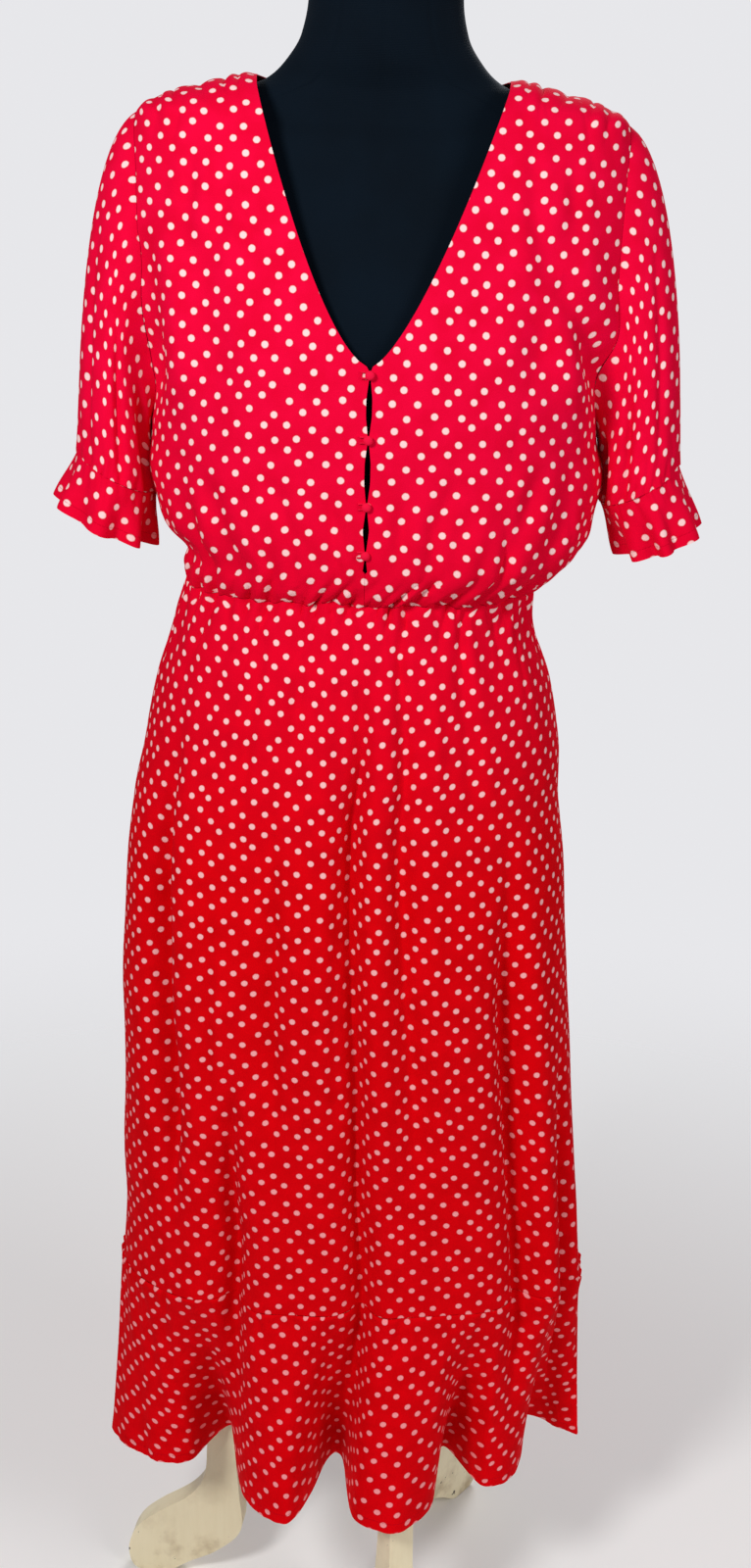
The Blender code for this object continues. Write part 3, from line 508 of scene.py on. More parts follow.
def shell(name, grid, cut, edge, ring=False):
    """A closed thin shell. On a ring, the maps cut and edge have one more column than the grid."""
    rows, columns = grid.shape[:2]
    steps = columns if ring else columns - 1
    inner = grid - THICK * directions(grid, ring)
    points = np.concatenate((grid.reshape(-1, 3), inner.reshape(-1, 3))) + np.array((AXIS_X, AXIS_Y, 0))
    far = np.array((rows * columns, 0))

    def corner(r, c):
        """Number of a grid point among the vertices and in the maps."""
        return np.stack((r * columns + c % columns, r * (steps + 1) + c), -1)

    def rim(a, b, turned):
        wall = np.stack((a, b, b + far, a + far), 1)
        return wall[:, ::-1] if turned else wall

    r, c = (part.ravel() for part in np.meshgrid(np.arange(rows - 1), np.arange(steps), indexing="ij"))
    outer = np.stack((corner(r, c), corner(r, c + 1), corner(r + 1, c + 1), corner(r + 1, c)), 1)
    r, c = np.arange(rows - 1), np.arange(steps)
    quads = [outer, outer[:, ::-1] + far]
    quads += [rim(corner(row, c), corner(row, c + 1), row == 0) for row in (0, rows - 1)]
    if not ring:
        quads += [rim(corner(r, column), corner(r + 1, column), column > 0) for column in (0, columns - 1)]
    faces, places = np.moveaxis(np.concatenate(quads), 2, 0)
    mesh = bpy.data.meshes.new(name)
    mesh.from_pydata(points.tolist(), [], faces.tolist())
    for layer, table in (("cut", cut), ("edge", edge)):
        mesh.uv_layers.new(name=layer).data.foreach_set("uv", table.reshape(-1, 2)[places.ravel()].ravel())
    return placed(name, mesh, printed_crepe, 50)


def arc(grid, axis):
    """Length walked along an axis of a grid, starting at 0."""
    steps = np.linalg.norm(np.diff(grid, axis=axis), axis=-1)
    start = np.zeros_like(np.take(steps, [0], axis=axis))
    return np.concatenate((start, np.cumsum(steps, axis=axis)), axis=axis)


def dress_piece(piece, node):
    """Every piece rides on the whole and hides its solid."""
    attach(piece, "root")
    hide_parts(node)
    print(piece.name, len(piece.data.polygons), "faces")
    return piece


print("cloth thickness", THICK)

# %% [markdown]
# ## Gathers and creases
# A gathered seam pushes the cloth into small round crests with narrow valleys. Close to the
# seam there are many, and only the wide ones reach far down, so several rows of crests with
# growing spacing and reach are added up. Single creases are laid one by one along short lines.

# %% Gathers and creases
def unevenness(s, seed):
    """Slow wandering between -1 and 1, the same in each run."""
    return (np.sin(s * 7.3 + seed) + np.sin(s * 17.9 + 2.1 * seed) + np.sin(s * 41.3 + 3.7 * seed)) / 3


def gathers(s, away, rows, seed, lift=0.25):
    """Push of a gathered seam at a length s along it and a distance away; lift raises the valleys."""
    push = 0
    for k, (pitch, high, reach) in enumerate(rows):
        drift = 0.35 * np.sin(away / reach * 1.3 + k * 2 + seed)
        phase = s / pitch + 0.55 * unevenness(s * 3.1, seed + 5 * k) + drift + 0.37 * k
        strong = 0.65 + 0.55 * unevenness(s * 5.7, seed + 11 * k + 2)
        crest = np.abs(np.sin(pi * phase)) ** 0.8 - 0.65 + lift
        push = push + high * strong * crest * np.exp(-(np.abs(away) / reach) ** 1.2)
    return push


def creases(x, z, table):
    """Sum of single creases on one face of the body, each a line of (x, z) points."""
    push = np.zeros(np.broadcast(x, z).shape)
    for depth, width, *line in table:
        best, along = np.full(push.shape, 9.0), np.zeros(push.shape)
        pieces = len(line) - 1
        for k in range(pieces):
            (ax, az), (bx, bz) = line[k], line[k + 1]
            span = (bx - ax) ** 2 + (bz - az) ** 2
            t = np.clip(((x - ax) * (bx - ax) + (z - az) * (bz - az)) / span, 0, 1)
            gap = np.hypot(x - ax - t * (bx - ax), z - az - t * (bz - az))
            nearer = gap < best
            best, along = np.where(nearer, gap, best), np.where(nearer, (k + t) / pieces, along)
        swell = np.sin(pi * np.clip(along, 0.0, 1.0)) ** 0.7
        swell = swell * (0.85 + 0.25 * np.sin(along * 9 + depth * 4000))
        reach = width * (0.8 + 0.4 * along)
        rise, shoulder = bell(best / reach), bell((best - 2 * reach) / reach)
        push = push + depth * swell * (rise - 0.45 * shoulder)
    return push


# Rows of gathers: spacing, height and reach. The waist is so long round, and so is the flounce seam.
WAIST_ROWS = ((0.0092, 0.0046, 0.013), (0.0150, 0.0064, 0.026), (0.024, 0.0064, 0.050),
              (0.041, 0.0050, 0.090))
WAIST_ROUND = 0.785


def waist_wander(angle, z):
    """The waist seam isn't quite level: a small rise and fall that fades away from it."""
    s = angle / 360 * WAIST_ROUND
    rise = 0.0022 * unevenness(s * 4.3, 8.0) + 0.0021 * unevenness(s * 13.0, 3.0)
    return rise * bell(np.abs(z - WAIST_Z) / 0.022)


FLOUNCE_ROWS = ((0.0110, 0.0024, 0.014), (0.019, 0.0036, 0.030), (0.033, 0.0042, 0.060))
FLOUNCE_ROUND = 1.13
print("gathers ready")

# %% [markdown]
# ## Skirt
# The skirt is cut as a front and a back, gathered into the waist. It is smooth over the hips
# and falls into long soft folds. The two halves share one surface, so their side seams meet.

# %% Skirt surface
def fold_depth(z, start, fade):
    """How far a long fold has opened at a height, from 0 to 1; it closes again below fade."""
    deep = ease((start - z) / FOLD_START)
    return deep * (1 - ease((fade + FOLD_END / 2 - z) / FOLD_END)) if fade else deep


def skirt_surface(angle, z):
    angle = (angle + 90) % 360 - 90
    down = (WAIST_Z - z) / (WAIST_Z - FLOUNCE_Z)
    push = 0 * (angle + z)
    for top, low, start, depth, width, fade in FOLDS:
        apart = (angle - mix(top, low, down)) / width
        shape = (FOLD_RIM - bell(apart)) * bell(apart / FOLD_SPREAD)
        push = push + depth * fold_depth(z, start, fade) * shape
    return section(SKIRT, angle, z) + level_out(SKIRT, angle, z) * push[..., None]


FOLD_CORE, CORE_DEPTH, CORE_EARLY = 2.7, 0.78, 0.03


def fold_cores(angle, z):
    """The narrow dark bottom of each long fold, which the solids leave out."""
    down = (WAIST_Z - z) / (WAIST_Z - FLOUNCE_Z)
    push = 0 * (angle + z)
    for top, low, start, depth, width, fade in FOLDS:
        bend = 0.9 * np.sin(z * 19 + top) * (1 - down)
        apart = (angle - mix(top, low, down) - bend) / width * FOLD_CORE
        shape = bell(apart) - 0.4 * bell(apart / 2 - 1.1)
        push = push - depth * CORE_DEPTH * fold_depth(z, start + CORE_EARLY, fade) * shape
    return push


# Soft creases on the front and back of the skirt: push, width and a line of (x, z)
SKIRT_FRONT_CREASES = (
    (-0.0035, 0.006, (-0.055, 1.045), (-0.058, 0.96), (-0.060, 0.86)),
    (-0.0030, 0.005, (-0.084, 1.035), (-0.098, 0.95), (-0.108, 0.87)),
    (-0.0030, 0.005, (0.024, 1.045), (0.030, 0.97), (0.036, 0.88)),
    (-0.0032, 0.006, (0.070, 1.040), (0.084, 0.96), (0.096, 0.87)),
    (0.0028, 0.007, (-0.030, 1.040), (-0.034, 0.95), (-0.036, 0.84)),
    (0.0026, 0.007, (0.052, 1.035), (0.060, 0.94), (0.066, 0.84)),
    (-0.0026, 0.005, (-0.128, 0.80), (-0.132, 0.68), (-0.130, 0.56)),
    (-0.0024, 0.005, (0.120, 0.78), (0.130, 0.66), (0.136, 0.55)),
    (-0.0030, 0.006, (-0.018, 0.86), (-0.020, 0.70), (-0.016, 0.56)),
    (-0.0028, 0.006, (0.052, 0.80), (0.062, 0.66), (0.066, 0.52)),
)
SKIRT_BACK_CREASES = (
    (-0.0032, 0.006, (-0.060, 1.045), (-0.066, 0.95), (-0.070, 0.86)),
    (-0.0030, 0.006, (0.048, 1.045), (0.056, 0.95), (0.062, 0.87)),
    (-0.0028, 0.005, (-0.100, 1.030), (-0.118, 0.94), (-0.124, 0.88)),
    (-0.0028, 0.005, (0.088, 1.030), (0.106, 0.94), (0.114, 0.86)),
    (-0.0028, 0.006, (-0.020, 0.88), (-0.018, 0.72), (-0.022, 0.56)),
    (-0.0028, 0.006, (0.100, 0.80), (0.108, 0.66), (0.112, 0.52)),
    (0.0026, 0.008, (0.010, 1.040), (0.012, 0.93), (0.014, 0.82)),
)


def skirt_push(angle, z):
    """Gathers under the waist, listed creases and the pucker above the flounce seam."""
    near = gathers(angle / 360 * WAIST_ROUND, WAIST_Z - z, WAIST_ROWS, 1.0)
    pucker = gathers(angle / 360 * FLOUNCE_ROUND, z - FLOUNCE_Z, ((0.019, 0.0008, 0.008),), 3.0)
    plain = section(SKIRT, angle, z)
    front = creases(plain[..., 0], plain[..., 2], SKIRT_FRONT_CREASES)
    back = creases(plain[..., 0], plain[..., 2], SKIRT_BACK_CREASES)
    in_front = ease((np.cos(np.radians(angle)) + 0.06) / 0.12)
    return near + pucker + fold_cores(angle, z) + front * in_front + back * (1 - in_front)


print("skirt creases", len(SKIRT_FRONT_CREASES) + len(SKIRT_BACK_CREASES))

# %% Skirt front and back
def spread(low, high, count, crowd):
    """Heights from low to high, closer together near the high end."""
    t = np.linspace(0, 1, count)
    return mix(low, high, mix(t, 1 - (1 - t) ** 2, crowd))


def cloth_width(grid, base):
    """Length along each row over its gathers, so dots crowd on their steep sides."""
    over = arc(grid, 1)
    return over * (arc(base, 1)[:, -1:] / over[:, -1:])


# Columns and rows of each half, and the flat cloth of the print for each metre of the plain body,
# across and along. The flounce's print is cut from another place on the cloth.
SKIRT_GRID, FLOUNCE_GRID = (260, 150), (330, 72)
SKIRT_TAKEN, FLOUNCE_TAKEN, FLOUNCE_START = (1.14, 1.08), (1.10, 1.10), 0.37
EVEN_PRINT = 0.75             # how far the flounce's print keeps the spacing of its middle row


def half_tube(name, surface, push, first, columns, heights, hem):
    """One half of a body tube between two side seams."""
    angle, z = np.meshgrid(np.linspace(first, first + 180, columns), heights)
    base = surface(angle, z)
    grid = base + level_out(SKIRT, angle, z) * push(angle, z)[..., None]
    grid[..., 2] += waist_wander(angle, z)
    grid[:, 0, 1] = grid[:, -1, 1] = (-1 if first < 90 else 1) * SEAM / 2
    grid[0, :, 2] += SEAM / 2
    grid[-1, :, 2] -= SEAM / 2
    across = cloth_width(grid, base)
    across = across - across[:, [columns // 2]]
    if hem:
        across = mix(across, across[(len(heights) - 1) // 2][None, :], EVEN_PRINT)
    up = arc(base, 0)[:, [columns // 2]] + 0 * across
    taken, start = (FLOUNCE_TAKEN, FLOUNCE_START) if hem else (SKIRT_TAKEN, 0)
    cut = np.stack((across * taken[0], up * taken[1] + start), -1)
    edge = np.stack((across, up if hem else 0 * up + FAR_EDGE), -1)
    return shell(name, grid, cut, edge)


def halves(word, surface, push, columns, heights, hem=False):
    """Front and back of a body tube, each dressed over its solid."""
    made = {}
    for half, first in (("front", -90), ("back", 90)):
        name = "%s_%s" % (word, half)
        piece = half_tube(name + "_cloth", surface, push, first, columns, heights, hem)
        made[half] = dress_piece(piece, name)
    return made


skirt_pieces = halves("skirt", skirt_surface, skirt_push, SKIRT_GRID[0],
                      spread(FLOUNCE_Z, WAIST_Z, SKIRT_GRID[1], 0.75))

# %% [markdown]
# ## Flounce
# A straight strip is gathered onto the skirt and swings out in waves of its own. The seam
# shows as a row of small crests, and the hem is turned up narrowly and stitched once.

# %% Flounce
def hem_place(angle):
    """Place of the hem below an angle of the seam, on a closed smooth curve."""
    angle = (np.asarray(angle, float) + 90) % 360 - 90
    turns = np.array([row[0] for row in WAVES] + [270.0])
    spots = np.array([row[1:] for row in WAVES])
    count, gaps = len(WAVES), np.diff(turns)
    reaches = (gaps + np.roll(gaps, 1))[:, None]
    tangents = (np.roll(spots, -1, axis=0) - np.roll(spots, 1, axis=0)) / reaches
    k = np.clip(np.searchsorted(turns, angle, side="right") - 1, 0, count - 1)
    after = (k + 1) % count
    t = ((angle - turns[k]) / gaps[k])[..., None]
    step = gaps[k][..., None]
    return curve(spots[k], spots[after], step * tangents[k], step * tangents[after], t)


def flounce_surface(angle, z):
    share = np.clip((FLOUNCE_Z - z) / (FLOUNCE_Z - HEM_Z), 0, 1)
    top = skirt_surface(angle, 0 * z + FLOUNCE_Z)
    flat = mix(top[..., :2], hem_place(angle), share[..., None] ** WAVE_GROWTH)
    return np.concatenate((flat, (z + 0 * angle)[..., None]), axis=-1)


# Hollows and shoulders of the hem's waves: angle, push at the hem, width in degrees
HEM_CORES = (
    (-70, -0.008, 4.5), (-46, 0.006, 4.0), (-37, -0.012, 3.6), (-28, 0.009, 4.0), (-13, 0.007, 3.0),
    (-5, -0.022, 3.6), (7, 0.010, 3.0), (23, 0.010, 3.6), (31, -0.020, 3.4), (37, 0.007, 3.0),
    (58, -0.012, 4.0), (118, -0.012, 4.0), (126, 0.006, 3.5), (165, -0.012, 4.0), (192, -0.012, 4.0),
    (220, -0.012, 4.0), (246, -0.010, 4.0),
)


def flounce_push(angle, z):
    drop = FLOUNCE_Z - z
    s = angle / 360 * FLOUNCE_ROUND
    low = ease(drop / (FLOUNCE_Z - HEM_Z))
    cores = fold_cores(angle, FLOUNCE_Z + 0 * z) * (1 - low)
    for centre, deep, width in HEM_CORES:
        cores = cores + deep * low * bell((angle - centre) / width)
    small = 0.0012 * np.sin(2 * pi * s / 0.047 + 2 * unevenness(s * 3, 4)) * ease(drop / 0.06)
    roll = 0.0010 * unevenness(s * 14, 9) * ease((z - HEM_Z) / -0.02 + 1)
    return gathers(s, drop, FLOUNCE_ROWS, 2.0) * ease(drop / 0.004 + 0.25) + small + roll + cores


flounce_pieces = halves("flounce", flounce_surface, flounce_push, FLOUNCE_GRID[0],
                        spread(HEM_Z, FLOUNCE_Z, FLOUNCE_GRID[1], 0.6), hem=True)

# %% [markdown]
# ## Bodice
# The two fronts meet edge to edge under four small buttons. Each front is one grid that runs
# from the opening out to the side seam and armhole, and up to a gathered shoulder seam. The
# cloth blouses over the waist.

# %% Bodice lines
FRONT_Z = (1.062, 1.070, 1.084, 1.108, 1.128, 1.147, 1.174, 1.200, 1.228, V_POINT_Z,
           1.290, 1.325, 1.360, 1.394, 1.426, 1.451, 1.465, NECK_Z)
SIDE_Z = (1.062, 1.070, 1.082, 1.102, 1.120, 1.137, 1.156, 1.176)
ARM_SHARES = (0.0, 0.125, 0.25, 0.375, 0.5, 0.625, 0.75, 0.865, 0.945, 1.0)
ARM_MIDDLE, ARM_RADIUS = (UNDERARM_Z + TIP_Z) / 2, (TIP_Z - UNDERARM_Z) / 2
FIRST_ARM = len(SIDE_Z)
LAST = len(FRONT_Z) - 1
# Rows of the bodice's grids, closer together at the waist
BODICE_ROWS = np.concatenate((np.linspace(0, 3, 36, endpoint=False), np.linspace(3, LAST, 108)))[:, None]
FRONT_COLUMNS, BACK_COLUMNS = 116, 190
# The bodice's print: flat cloth for each metre up the body and out from the slit, where the
# fronts start on the cloth, and the height and distance over which a shoulder turns level
UP_TAKEN, OUT_TAKEN, FRONT_START = 1.02, 1.05, 0.5
SHOULDER_Z, SHOULDER_TURN = 1.38, 0.05


def arm_height(share):
    return ARM_MIDDLE - ARM_RADIUS * np.cos(pi * share)


def outer_height(row):
    """Height of the outer edge of the bodice at a row, which need not be whole."""
    low = np.interp(row, range(FIRST_ARM + 1), SIDE_Z + (UNDERARM_Z,))
    share = np.interp(row, range(FIRST_ARM, LAST + 1), ARM_SHARES)
    return np.where(row <= FIRST_ARM, low, arm_height(share))


def edge_angle(z, depth):
    """Angle of the armhole's edge at height z."""
    reach = ARMHOLE_DEPTH * np.sqrt(np.clip(1 - ((z - ARM_MIDDLE) / ARM_RADIUS) ** 2, 0, 1))

    def further(half):
        turn = np.radians(half)
        return read(BODICE, depth, z) * np.cos(turn) * (1 + SQUARENESS * np.sin(2 * turn) ** 2) > reach

    found = halving(further, 0 * z, 0 * z + 90.0)
    return np.where((z <= UNDERARM_Z) | (z >= TIP_Z), 90.0, found)


def angle_at(x, z):
    """Angle of the front section at height z whose point has this x."""
    start = 0 * (x + z)
    return halving(lambda half: section(BODICE, half, z)[..., 0] < x, start - 90.0, start + 90.0)


def ridge_height(x):
    """Height of the shoulder seam at a distance x from the middle."""
    return halving(lambda half: read(BODICE, "half", half) > x, 0 * x + TIP_Z, 0 * x + NECK_Z)


def front_edge_x(side, z):
    nearest = np.min([np.abs(z - spot) for spot in BUTTON_Z], axis=0)
    open_x = SLIT_X + side * (SEAM + SLIT_HALF * np.minimum(1.0, nearest / BUTTON_PINCH))
    climb = np.clip((z - V_POINT_Z) / (NECK_Z - V_POINT_Z), 0, 1)
    neck_x = mix(SLIT_X + side * SEAM, side * NECK_HALF, climb ** NECK_BOW[side])
    closed = SLIT_X + side * SEAM / 2
    return np.where(z <= SLIT_END_Z, closed, np.where(z <= V_POINT_Z, open_x, neck_x))


print("armhole from", UNDERARM_Z, "to", TIP_Z)

# %% Bodice creases
# Single creases: push, width and a line of (x, z)
BODICE_FRONT_CREASES = (
    (-0.0105, 0.012, (-0.190, 1.350), (-0.184, 1.290), (-0.182, 1.240), (-0.190, 1.200)),
    (-0.0120, 0.012, (0.144, 1.325), (0.166, 1.290), (0.184, 1.245), (0.196, 1.200)),
    (-0.0030, 0.006, (-0.060, 1.080), (-0.066, 1.120), (-0.078, 1.165)),
    (-0.0030, 0.006, (0.046, 1.080), (0.052, 1.125), (0.066, 1.170)),
    (-0.0045, 0.007, (-0.110, 1.080), (-0.124, 1.125), (-0.142, 1.175)),
    (-0.0045, 0.007, (0.104, 1.080), (0.120, 1.125), (0.138, 1.180)),
    (-0.0050, 0.008, (-0.142, 1.092), (-0.150, 1.135), (-0.160, 1.180)),
    (-0.0050, 0.008, (0.148, 1.095), (0.156, 1.140), (0.164, 1.185)),
    (-0.0045, 0.014, (-0.150, 1.360), (-0.132, 1.290), (-0.128, 1.220)),
    (-0.0045, 0.014, (0.146, 1.370), (0.134, 1.300), (0.130, 1.230)),
    (0.0026, 0.008, (-0.088, 1.080), (-0.096, 1.120), (-0.104, 1.165)),
    (0.0026, 0.008, (0.078, 1.080), (0.086, 1.120), (0.096, 1.160)),
    (-0.0022, 0.006, (-0.028, 1.085), (-0.030, 1.130), (-0.040, 1.180)),
    (-0.0022, 0.006, (0.020, 1.085), (0.024, 1.130), (0.032, 1.175)),
    (-0.0026, 0.007, (-0.120, 1.420), (-0.124, 1.370), (-0.134, 1.320)),
    (-0.0026, 0.007, (0.118, 1.425), (0.122, 1.370), (0.134, 1.320)),
    (-0.0020, 0.006, (-0.148, 1.415), (-0.152, 1.375), (-0.158, 1.340)),
    (-0.0020, 0.006, (0.150, 1.415), (0.154, 1.375), (0.158, 1.340)),
    (-0.0016, 0.004, (-0.112, 1.372), (-0.104, 1.362), (-0.097, 1.352)),
)
BODICE_BACK_CREASES = (
    (-0.0035, 0.008, (-0.160, 1.290), (-0.150, 1.230), (-0.158, 1.180)),
    (-0.0035, 0.008, (0.160, 1.290), (0.150, 1.230), (0.158, 1.180)),
    (-0.0030, 0.006, (-0.050, 1.080), (-0.054, 1.130), (-0.062, 1.190)),
    (-0.0030, 0.006, (0.044, 1.080), (0.050, 1.130), (0.060, 1.185)),
    (-0.0028, 0.006, (-0.100, 1.085), (-0.112, 1.130), (-0.128, 1.175)),
    (-0.0028, 0.006, (0.098, 1.085), (0.108, 1.130), (0.124, 1.175)),
    (0.0024, 0.009, (-0.004, 1.085), (-0.002, 1.140), (0.000, 1.210)),
)


print("bodice creases", len(BODICE_FRONT_CREASES) + len(BODICE_BACK_CREASES))

# %% Bodice gathers
# Fuller and closer places beside the body: height, reach and push, and their width in degrees
SIDE_BLOUSE, SIDE_WIDTH = ((1.158, 0.024, 0.0070), (1.092, 0.012, -0.0060)), 30
SHOULDER_ROWS, SHOULDER_FADE = ((0.0165, 0.0040, 0.016), (0.030, 0.0024, 0.034)), 0.012


def side_blouse(angle, z):
    """The cloth hangs fuller under each arm and turns in sooner above the waist."""
    beside = bell(np.degrees(np.arccos(np.abs(np.sin(np.radians(angle))))) / SIDE_WIDTH)
    return sum(deep * beside * bell((z - level) / reach) for level, reach, deep in SIDE_BLOUSE)


def bodice_push(angle, z, face):
    """Gathers at the waist and shoulder seam, listed creases and the fuller sides."""
    x = section(BODICE, angle, z)[..., 0]
    low = gathers(angle / 360 * WAIST_ROUND, z - WAIST_Z, WAIST_ROWS, 1.0)
    hand = creases(x, z, BODICE_FRONT_CREASES if face == "front" else BODICE_BACK_CREASES)
    rim = np.minimum(np.abs(x), read(BODICE, "half", TIP_Z))
    drop = np.maximum(ridge_height(np.maximum(rim, NECK_HALF)) - z, 0)
    ends = ease((np.abs(x) - NECK_HALF + 0.004) / SHOULDER_FADE) * ease((0.200 - np.abs(x)) / SHOULDER_FADE)
    bunch = gathers(np.abs(x), drop, SHOULDER_ROWS, 6.0, 0.60)
    if face == "back":
        bunch = bunch * (0.45 + 0.55 * np.exp(-drop / 0.006))
    return low + hand * ease((z - WAIST_Z) / 0.02) + bunch * ends + side_blouse(angle, z)


def bodice_grid(base, angle, z, face):
    """The plain bodice pushed outwards, level where it meets the waist seam."""
    out = directions(base)
    out[..., 2] *= 1 - np.clip(1 - (z - WAIST_Z) / LEVEL_REACH, 0, 1)
    out = unit(out)
    out = out * np.sign((out * base * (1, 1, 0)).sum(axis=-1).mean())
    grid = base + out * bodice_push(angle, z, face)[..., None]
    grid[..., 2] += waist_wander(angle, z)
    grid[0, :, 2] += SEAM / 2
    return grid


def up_the_body(base, z):
    """Length up the cloth, longer where it turns level on top of a shoulder, so dots stay round."""
    step = np.diff(base[..., 1:], axis=0)
    extra = np.linalg.norm(step, axis=-1) - np.abs(step[..., 1])
    over = np.concatenate((0 * z[:1], np.cumsum(extra * ease((z[1:] - SHOULDER_Z) / SHOULDER_TURN), axis=0)))
    return z * UP_TAKEN + over


print("bodice rows", len(BODICE_ROWS))

# %% Bodice fronts
def bodice_front(name, side):
    row, share = BODICE_ROWS, np.linspace(0, 1, FRONT_COLUMNS)[None, :]
    inner_z, outer_z = np.interp(row, range(LAST + 1), FRONT_Z), outer_height(row)
    start = angle_at(front_edge_x(side, inner_z), inner_z)
    start = np.where(row >= LAST, 90.0 * side, start)
    finish = edge_angle(outer_z, "front") * side
    climb = ease((row - FIRST_ARM) / (LAST - FIRST_ARM))
    start_x, finish_x = section(BODICE, start, inner_z)[..., 0], section(BODICE, finish, outer_z)[..., 0]
    x, z = mix(start_x, finish_x, share), mix(inner_z, outer_z, share)
    z = z + (ridge_height(np.abs(x)) - z) * np.clip(row - LAST + 1, 0, 1)
    angle = mix(mix(start, finish, share), angle_at(x, z), climb)
    base = section(BODICE, angle, z)
    grid = bodice_grid(base, angle, z, "front")
    grid[-1, :, 1] = -SEAM / 2
    grid[z[:, -1] <= UNDERARM_Z, -1, 1] = -SEAM / 2
    across = side * (cloth_width(grid, base) + np.abs(start_x - SLIT_X) * OUT_TAKEN)
    up = up_the_body(base, z)
    cut = np.stack((across + FRONT_START, up), -1)
    edge = np.stack((up, 0 * up + FAR_EDGE), -1)
    if side < 0:
        grid, cut, edge = grid[:, ::-1], cut[:, ::-1], edge[:, ::-1]
    return shell(name, grid, cut, edge)


bodice_pieces = {}
for word, side in (("right", -1), ("left", 1)):
    name = "front_bodice_" + word
    bodice_pieces[word] = dress_piece(bodice_front(name + "_cloth", side), name)

# %% Bodice back
def bodice_back(name):
    row = BODICE_ROWS
    across = np.linspace(1, -1, BACK_COLUMNS)[None, :]
    away = np.abs(across)
    outer_z = outer_height(row)
    climb = np.clip((row - FIRST_ARM) / (LAST - FIRST_ARM), 0, 1)
    middle_z = np.where(climb > 0, mix(UNDERARM_Z, NAPE_Z, climb), outer_z)
    side_angle = edge_angle(outer_z, "back")
    z = mix(outer_z, middle_z, 1 - across ** 2)
    top_x = away * read(BODICE, "half", TIP_Z)
    neck_z = mix(NAPE_Z, NECK_Z, np.minimum(top_x / NECK_HALF, 1) ** 2)
    top_z = np.where(top_x >= NECK_HALF, ridge_height(np.maximum(top_x, NECK_HALF)), neck_z)
    plain_top = mix(TIP_Z, NAPE_Z, 1 - across ** 2)
    z = z + (top_z - plain_top) * ease((climb - 0.2) / 0.8)
    edge_x = section(BODICE, side_angle, outer_z)[..., 0]
    angle = mix(side_angle * away, angle_at(away * edge_x, z), ease(climb))
    angle = np.where(across >= 0, 180 - angle, 180 + angle)
    base = section(BODICE, angle, z)
    grid = bodice_grid(base, angle, z, "back")
    grid[-1, top_x[0] >= NECK_HALF, 1] = SEAM / 2
    below = z[:, -1] <= UNDERARM_Z
    grid[below, 0, 1] = grid[below, -1, 1] = SEAM / 2
    width = cloth_width(grid, base)
    width = width - width[:, [BACK_COLUMNS // 2]]
    cut = np.stack((width, up_the_body(base, z)), -1)
    edge = np.stack((width, 0 * width + FAR_EDGE), -1)
    return shell(name, grid, cut, edge)


bodice_pieces["back"] = dress_piece(bodice_back("back_bodice_cloth"), "back_bodice")

# %% [markdown]
# ## Sleeves and cuff frills
# A short sleeve is set into the armhole and gathered at the cuff, where a small frill is sewn
# on. Its lines leave the shoulder outwards, turn down, and arrive at a tilted oval.

# %% Ovals and closed tubes
CUFF_ROWS = ((0.0090, 0.0018, 0.010), (0.0160, 0.0026, 0.022), (0.030, 0.0028, 0.045))
FRILL_ROWS = ((0.0090, 0.0012, 0.012), (0.0160, 0.0017, 0.030))
CUFF_ROUND, SLEEVE_RADIUS = 0.36, 0.07
# The sleeve's print: flat cloth for each metre round and along, and how far each row keeps the
# spacing of the middle one
SLEEVE_TAKEN, EVEN_RING = (0.80, 0.92), 0.6
# Where sleeves and frills are cut from the cloth, and how far the two sides lie from each other
SLEEVE_START, FRILL_START, SIDE_START = 0.9, 0.45, 0.3
FRILL_FLARE, FRILL_WAVES = 0.0060, 8
# Slope of the creases and their further turn on the left sleeve, and the shares of a sleeve's
# length over which its pushes start and the bodice's hollows end
CREASE_LEAN, LEFT_TURN, PUSH_IN, HOLLOW_OUT = 0.25, 0.3, 0.12, 0.45
# Creases of a sleeve: push, width, turn round it, and start and end as a share of its length
SLEEVE_CREASES = ((-0.0095, 0.012, 2.55, 0.22, 1.05), (-0.0050, 0.010, 3.55, 0.05, 0.80),
                  (-0.0060, 0.008, 1.75, 0.35, 1.05), (-0.0042, 0.008, 4.45, 0.10, 0.90),
                  (-0.0032, 0.007, 5.35, 0.30, 1.00), (-0.0034, 0.008, 0.85, 0.30, 1.00))


def oval(side, out_end, in_end, depth, turn):
    """Points and outward directions of the tilted oval between two ends."""
    out_end, in_end = (np.array((end[0], 0, end[1])) for end in (out_end, in_end))
    span = (out_end - in_end) / 2
    front = np.array((0, -depth, 0))
    c, s = np.cos(turn)[..., None], np.sin(turn)[..., None]
    point = (out_end + in_end) / 2 + span * c + front * s
    way = unit(span / (span @ span) * c + front / depth ** 2 * s)
    return point * (side, 1, 1), way * (side, 1, 1)


def ring_piece(name, base, out, push, start_height, hem=False):
    """A closed tube, mapped round its middle row and up from its lower edge."""
    grid = base + push
    closed = np.concatenate((base, base[:, :1]), axis=1)
    around, down = arc(closed, 1), arc(closed, 0)
    across = mix(around, around[len(base) // 2][None, :] + 0 * around, EVEN_RING)
    above = down[-1:] - down
    scale = (1.0, 1.0) if hem else SLEEVE_TAKEN
    cut = np.stack((across * scale[0], start_height + above * scale[1]), -1)
    edge = np.stack((across, above if hem else 0 * down + FAR_EDGE), -1)
    if (directions(grid, ring=True) * out).sum() < 0:
        grid, cut, edge = grid[:, ::-1], cut[:, ::-1], edge[:, ::-1]
    return shell(name, grid, cut, edge, ring=True)


print("sleeve creases", len(SLEEVE_CREASES))

